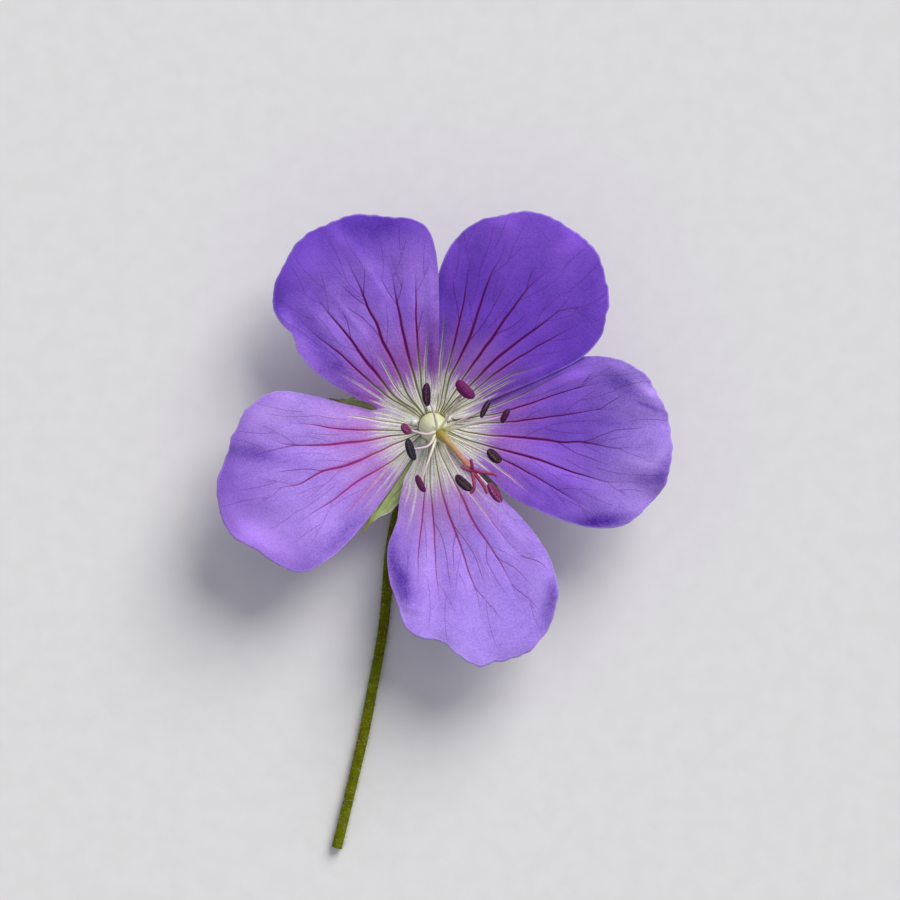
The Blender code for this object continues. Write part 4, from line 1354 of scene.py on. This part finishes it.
def makeFilament(number, stamen, finish):
    shape = filamentShape
    bearing, middle, thickness = stamen[0], np.array(stamen[1]), stamen[5]
    hug = [hugPoint(bearing, share, out) for share, out, _, _ in shape["hug"]]
    tip = middle - (0.0, 0.0, thickness / 2 + shape["tipGap"])
    knee = (hug[-1] + tip) / 2 + (*shape["bows"].get(number, (0.0, 0.0)), shape["kneeRise"])
    knots = np.array([*hug, knee, tip])
    line = smoothLine(knots, shape["spanSteps"] * (len(knots) - 1))
    lengths = np.linalg.norm(np.diff(knots, axis=0), axis=1)
    hugEnd = lengths[:len(hug) - 1].sum() / lengths.sum()
    run = np.linspace(0, 1, len(line))
    # the foot is broad along the ring of stamens and thin across it, and the thread is round
    thread = ease((run - hugEnd) / (1 - hugEnd) * 2.0)
    radius = shape["threadRadius"] - shape["threadTaper"] * run
    halves = [easedTable(shape["hug"], np.clip(run / hugEnd, 0, 1), column) for column in (2, 3)]
    breadth, depth = (half + (radius - half) * thread for half in halves)
    sides, others = crossFrames(line, bearingVector(bearing + 90.0))[1:]
    turn = turns(shape["sides"])
    squarer = (np.abs(np.cos(turn)) ** 3 + np.abs(np.sin(turn)) ** 3) ** (1 / 3)
    full = thread[:, None] + (1.0 - thread[:, None]) / squarer[None, :]
    rings = line[:, None, :] + (breadth[:, None] * np.cos(turn) * full)[..., None] * sides[:, None, :]
    rings = rings + (depth[:, None] * np.sin(turn) * full)[..., None] * others[:, None, :]
    name = f"filament_{number}"
    return standFor(loftPiece(name, rings, finish), "filament", name)


def makeAnther(number, stamen):
    # two long valves side by side, rolled back from a slit that shows the pollen
    shape = antherShape
    middle, bearing, length, width, thickness, valve, pollen = stamen[1:]
    run = np.sin(np.linspace(-1, 1, shape["rows"]) * math.pi / 2)  # rings stand closer at the ends
    ends = np.maximum(np.sqrt(np.clip(1.0 - np.abs(run) ** shape["bluntness"], 0.0, 1.0)), 0.02)
    lengthwise, angle = np.meshgrid(run, turns(shape["sides"]), indexing="ij")
    end = ends[:, None]
    sideways = np.cos(angle) * (1.0 + 0.06 * np.cos(2 * angle))
    upright = np.sin(angle)
    slit = np.exp(-(sideways / shape["slitHalfWidth"]) ** 2) * (upright > 0) * ease(end / 0.5)
    back = np.exp(-(sideways / shape["backHalfWidth"]) ** 2) * (upright < 0) * ease(end / 0.5)
    cleft = shape["clefts"].get(number, shape["cleft"])
    upright = upright * (0.86 + 0.14 * np.cos(2 * angle - math.pi))
    upright = upright - cleft * slit + shape["backDepth"] * back
    bow = shape["bow"] * width * (1.0 - lengthwise ** 2)
    local = np.stack([lengthwise * length / 2, sideways * end * width / 2 + bow - shape["bow"] / 2 * width,
                      upright * end * thickness / 2], axis=-1)
    lumps = 1.0 + shape["lumps"] * waves(lengthwise * 6.0, angle, 1.6, 40 + number)
    local[..., 1:] *= lumps[..., None]
    axes = (bearingVector(bearing), bearingVector(bearing + 90.0), np.array((0, 0, 1.0)))
    rings = middle
    for column, axis in enumerate(axes):
        rings = rings + local[..., column:column + 1] * axis
    showing = ease((slit - 0.25) / 0.5)
    name = f"anther_{number}"
    piece = loftPiece(name, rings, antherFinish(number, valve, pollen), slit=showing, hairy=showing)
    standFor(piece, "anther", name)
    dust = softMix(Finish(f"pollen{number}", 0.6), 6.0, (pollen, lighter(pollen, 0.02)))
    scatter(f"pollen_{number}", piece, "anther", "pollen", number, dust)


print("stamens: ten filaments, anthers and their pollen")
blush = filamentFinish()
for number, stamen in enumerate(stamens, 1):
    makeFilament(number, stamen, blush)
    makeAnther(number, stamen)


# Nectaries, each with a tuft of white hairs

nectaryShape = {
    "bearings": [241.0, 314.0, 26.0, 97.0, 168.0],
    "fromMiddle": 1.78,
    "height": 4.58,
    "radius": 0.29,
    "pitDepth": 0.22,
    "rows": 20,
    "sides": 24,
}


def nectaryFinish():
    finish = Finish("nectaryGlassy", 0.18, Coat_Weight=0.6, Coat_Roughness=0.1)
    return softMix(finish, 5.0, (paint(246, 248, 240), paint(254, 254, 252)), 0.12, 0.15)


def makeNectary(number, bearing, finish):
    # a small ball with a pit on top
    shape = nectaryShape
    tilt = np.linspace(0.03, math.pi - 0.03, shape["rows"])
    turn = turns(shape["sides"])
    upright = np.cos(tilt) * (1.0 - shape["pitDepth"] * np.exp(-(tilt / 0.5) ** 2))
    ring = np.sin(tilt)[:, None] * (1.0 + 0.06 * np.cos(turn * 3 + number))[None, :]
    ball = np.stack([ring * np.cos(turn), ring * np.sin(turn), allRound(upright, shape["sides"])], axis=-1)
    middle = bearingVector(bearing, shape["fromMiddle"]) + (0.0, 0.0, shape["height"])
    hairy = allRound(ease((np.cos(tilt) + 0.3) / 0.4), shape["sides"])
    name = f"nectary_{number}"
    piece = loftPiece(name, middle + ball * shape["radius"], finish, hairy=hairy)
    return standFor(piece, "nectary", name)


print("nectaries: five glands with their tufts")
glassy = nectaryFinish()
tuftWhite = hairFinish("tuftWhite", paint(236, 236, 226), paint(250, 250, 246))
for number, bearing in enumerate(nectaryShape["bearings"], 1):
    gland = makeNectary(number, bearing, glassy)
    scatter(f"nectary_tuft_{number}", gland, "nectary", "tuft", number, tuftWhite)


# Ground, light and camera

studio = {
    "groundTones": (paint(238, 236, 232), paint(228, 226, 221)),
    "groundSize": 3.0,
    "keyBearing": 57.0,
    "keyHeight": 36.0,
    "keySoftness": 38.0,
    "keyStrength": 2.62,
    "skyStrength": 0.4,
    "skyColour": (0.86, 0.88, 1.0),
}
lens = {
    "focal": 200.0,
    "sensor": 36.0,
    "frameWidth": 89.4,  # what 900 pixels take in at the height of the petals
    "lookAt": (1.79, -2.38),
    "atHeight": 7.0,
}


def makeGround():
    mesh = bpy.data.meshes.new("ground")
    sheet = bmesh.new()
    bmesh.ops.create_grid(sheet, x_segments=8, y_segments=8, size=studio["groundSize"] / 2)
    sheet.to_mesh(mesh)
    sheet.free()
    finish = Finish("paleGround", 0.8)
    tooth = finish.speckle(0.5, 4.0)
    mesh.materials.append(finish.done(finish.blend(tooth.between(0.3, 0.7) * 0.3, *studio["groundTones"])))
    addObject("ground", mesh)


def makeLight():
    key = bpy.data.lights.new("key", "SUN")
    key.energy = studio["keyStrength"]
    key.angle = math.radians(studio["keySoftness"])
    height = math.radians(studio["keyHeight"])
    towards = Vector(bearingVector(studio["keyBearing"], math.cos(height)) + (0, 0, math.sin(height)))
    addObject("key", key).rotation_euler = towards.to_track_quat("Z", "Y").to_euler()
    world = bpy.data.worlds.new("softSky")
    world.use_nodes = True
    sky = world.node_tree.nodes["Background"]
    sky.inputs["Color"].default_value = (*studio["skyColour"], 1.0)
    sky.inputs["Strength"].default_value = studio["skyStrength"]
    bpy.context.scene.world = world


def makeCamera():
    camera = bpy.data.cameras.new("camera")
    camera.lens = lens["focal"]
    camera.sensor_width = lens["sensor"]
    camera.clip_start = 0.01
    holder = addObject("camera", camera)
    distance = lens["frameWidth"] * lens["focal"] / lens["sensor"]
    holder.location = (flowerMiddle + (*lens["lookAt"], lens["atHeight"] + distance)) * mm
    bpy.context.scene.camera = holder


print("ground, light and camera")
makeGround()
makeLight()
makeCamera()
bpy.context.scene.view_settings.view_transform = "Standard"
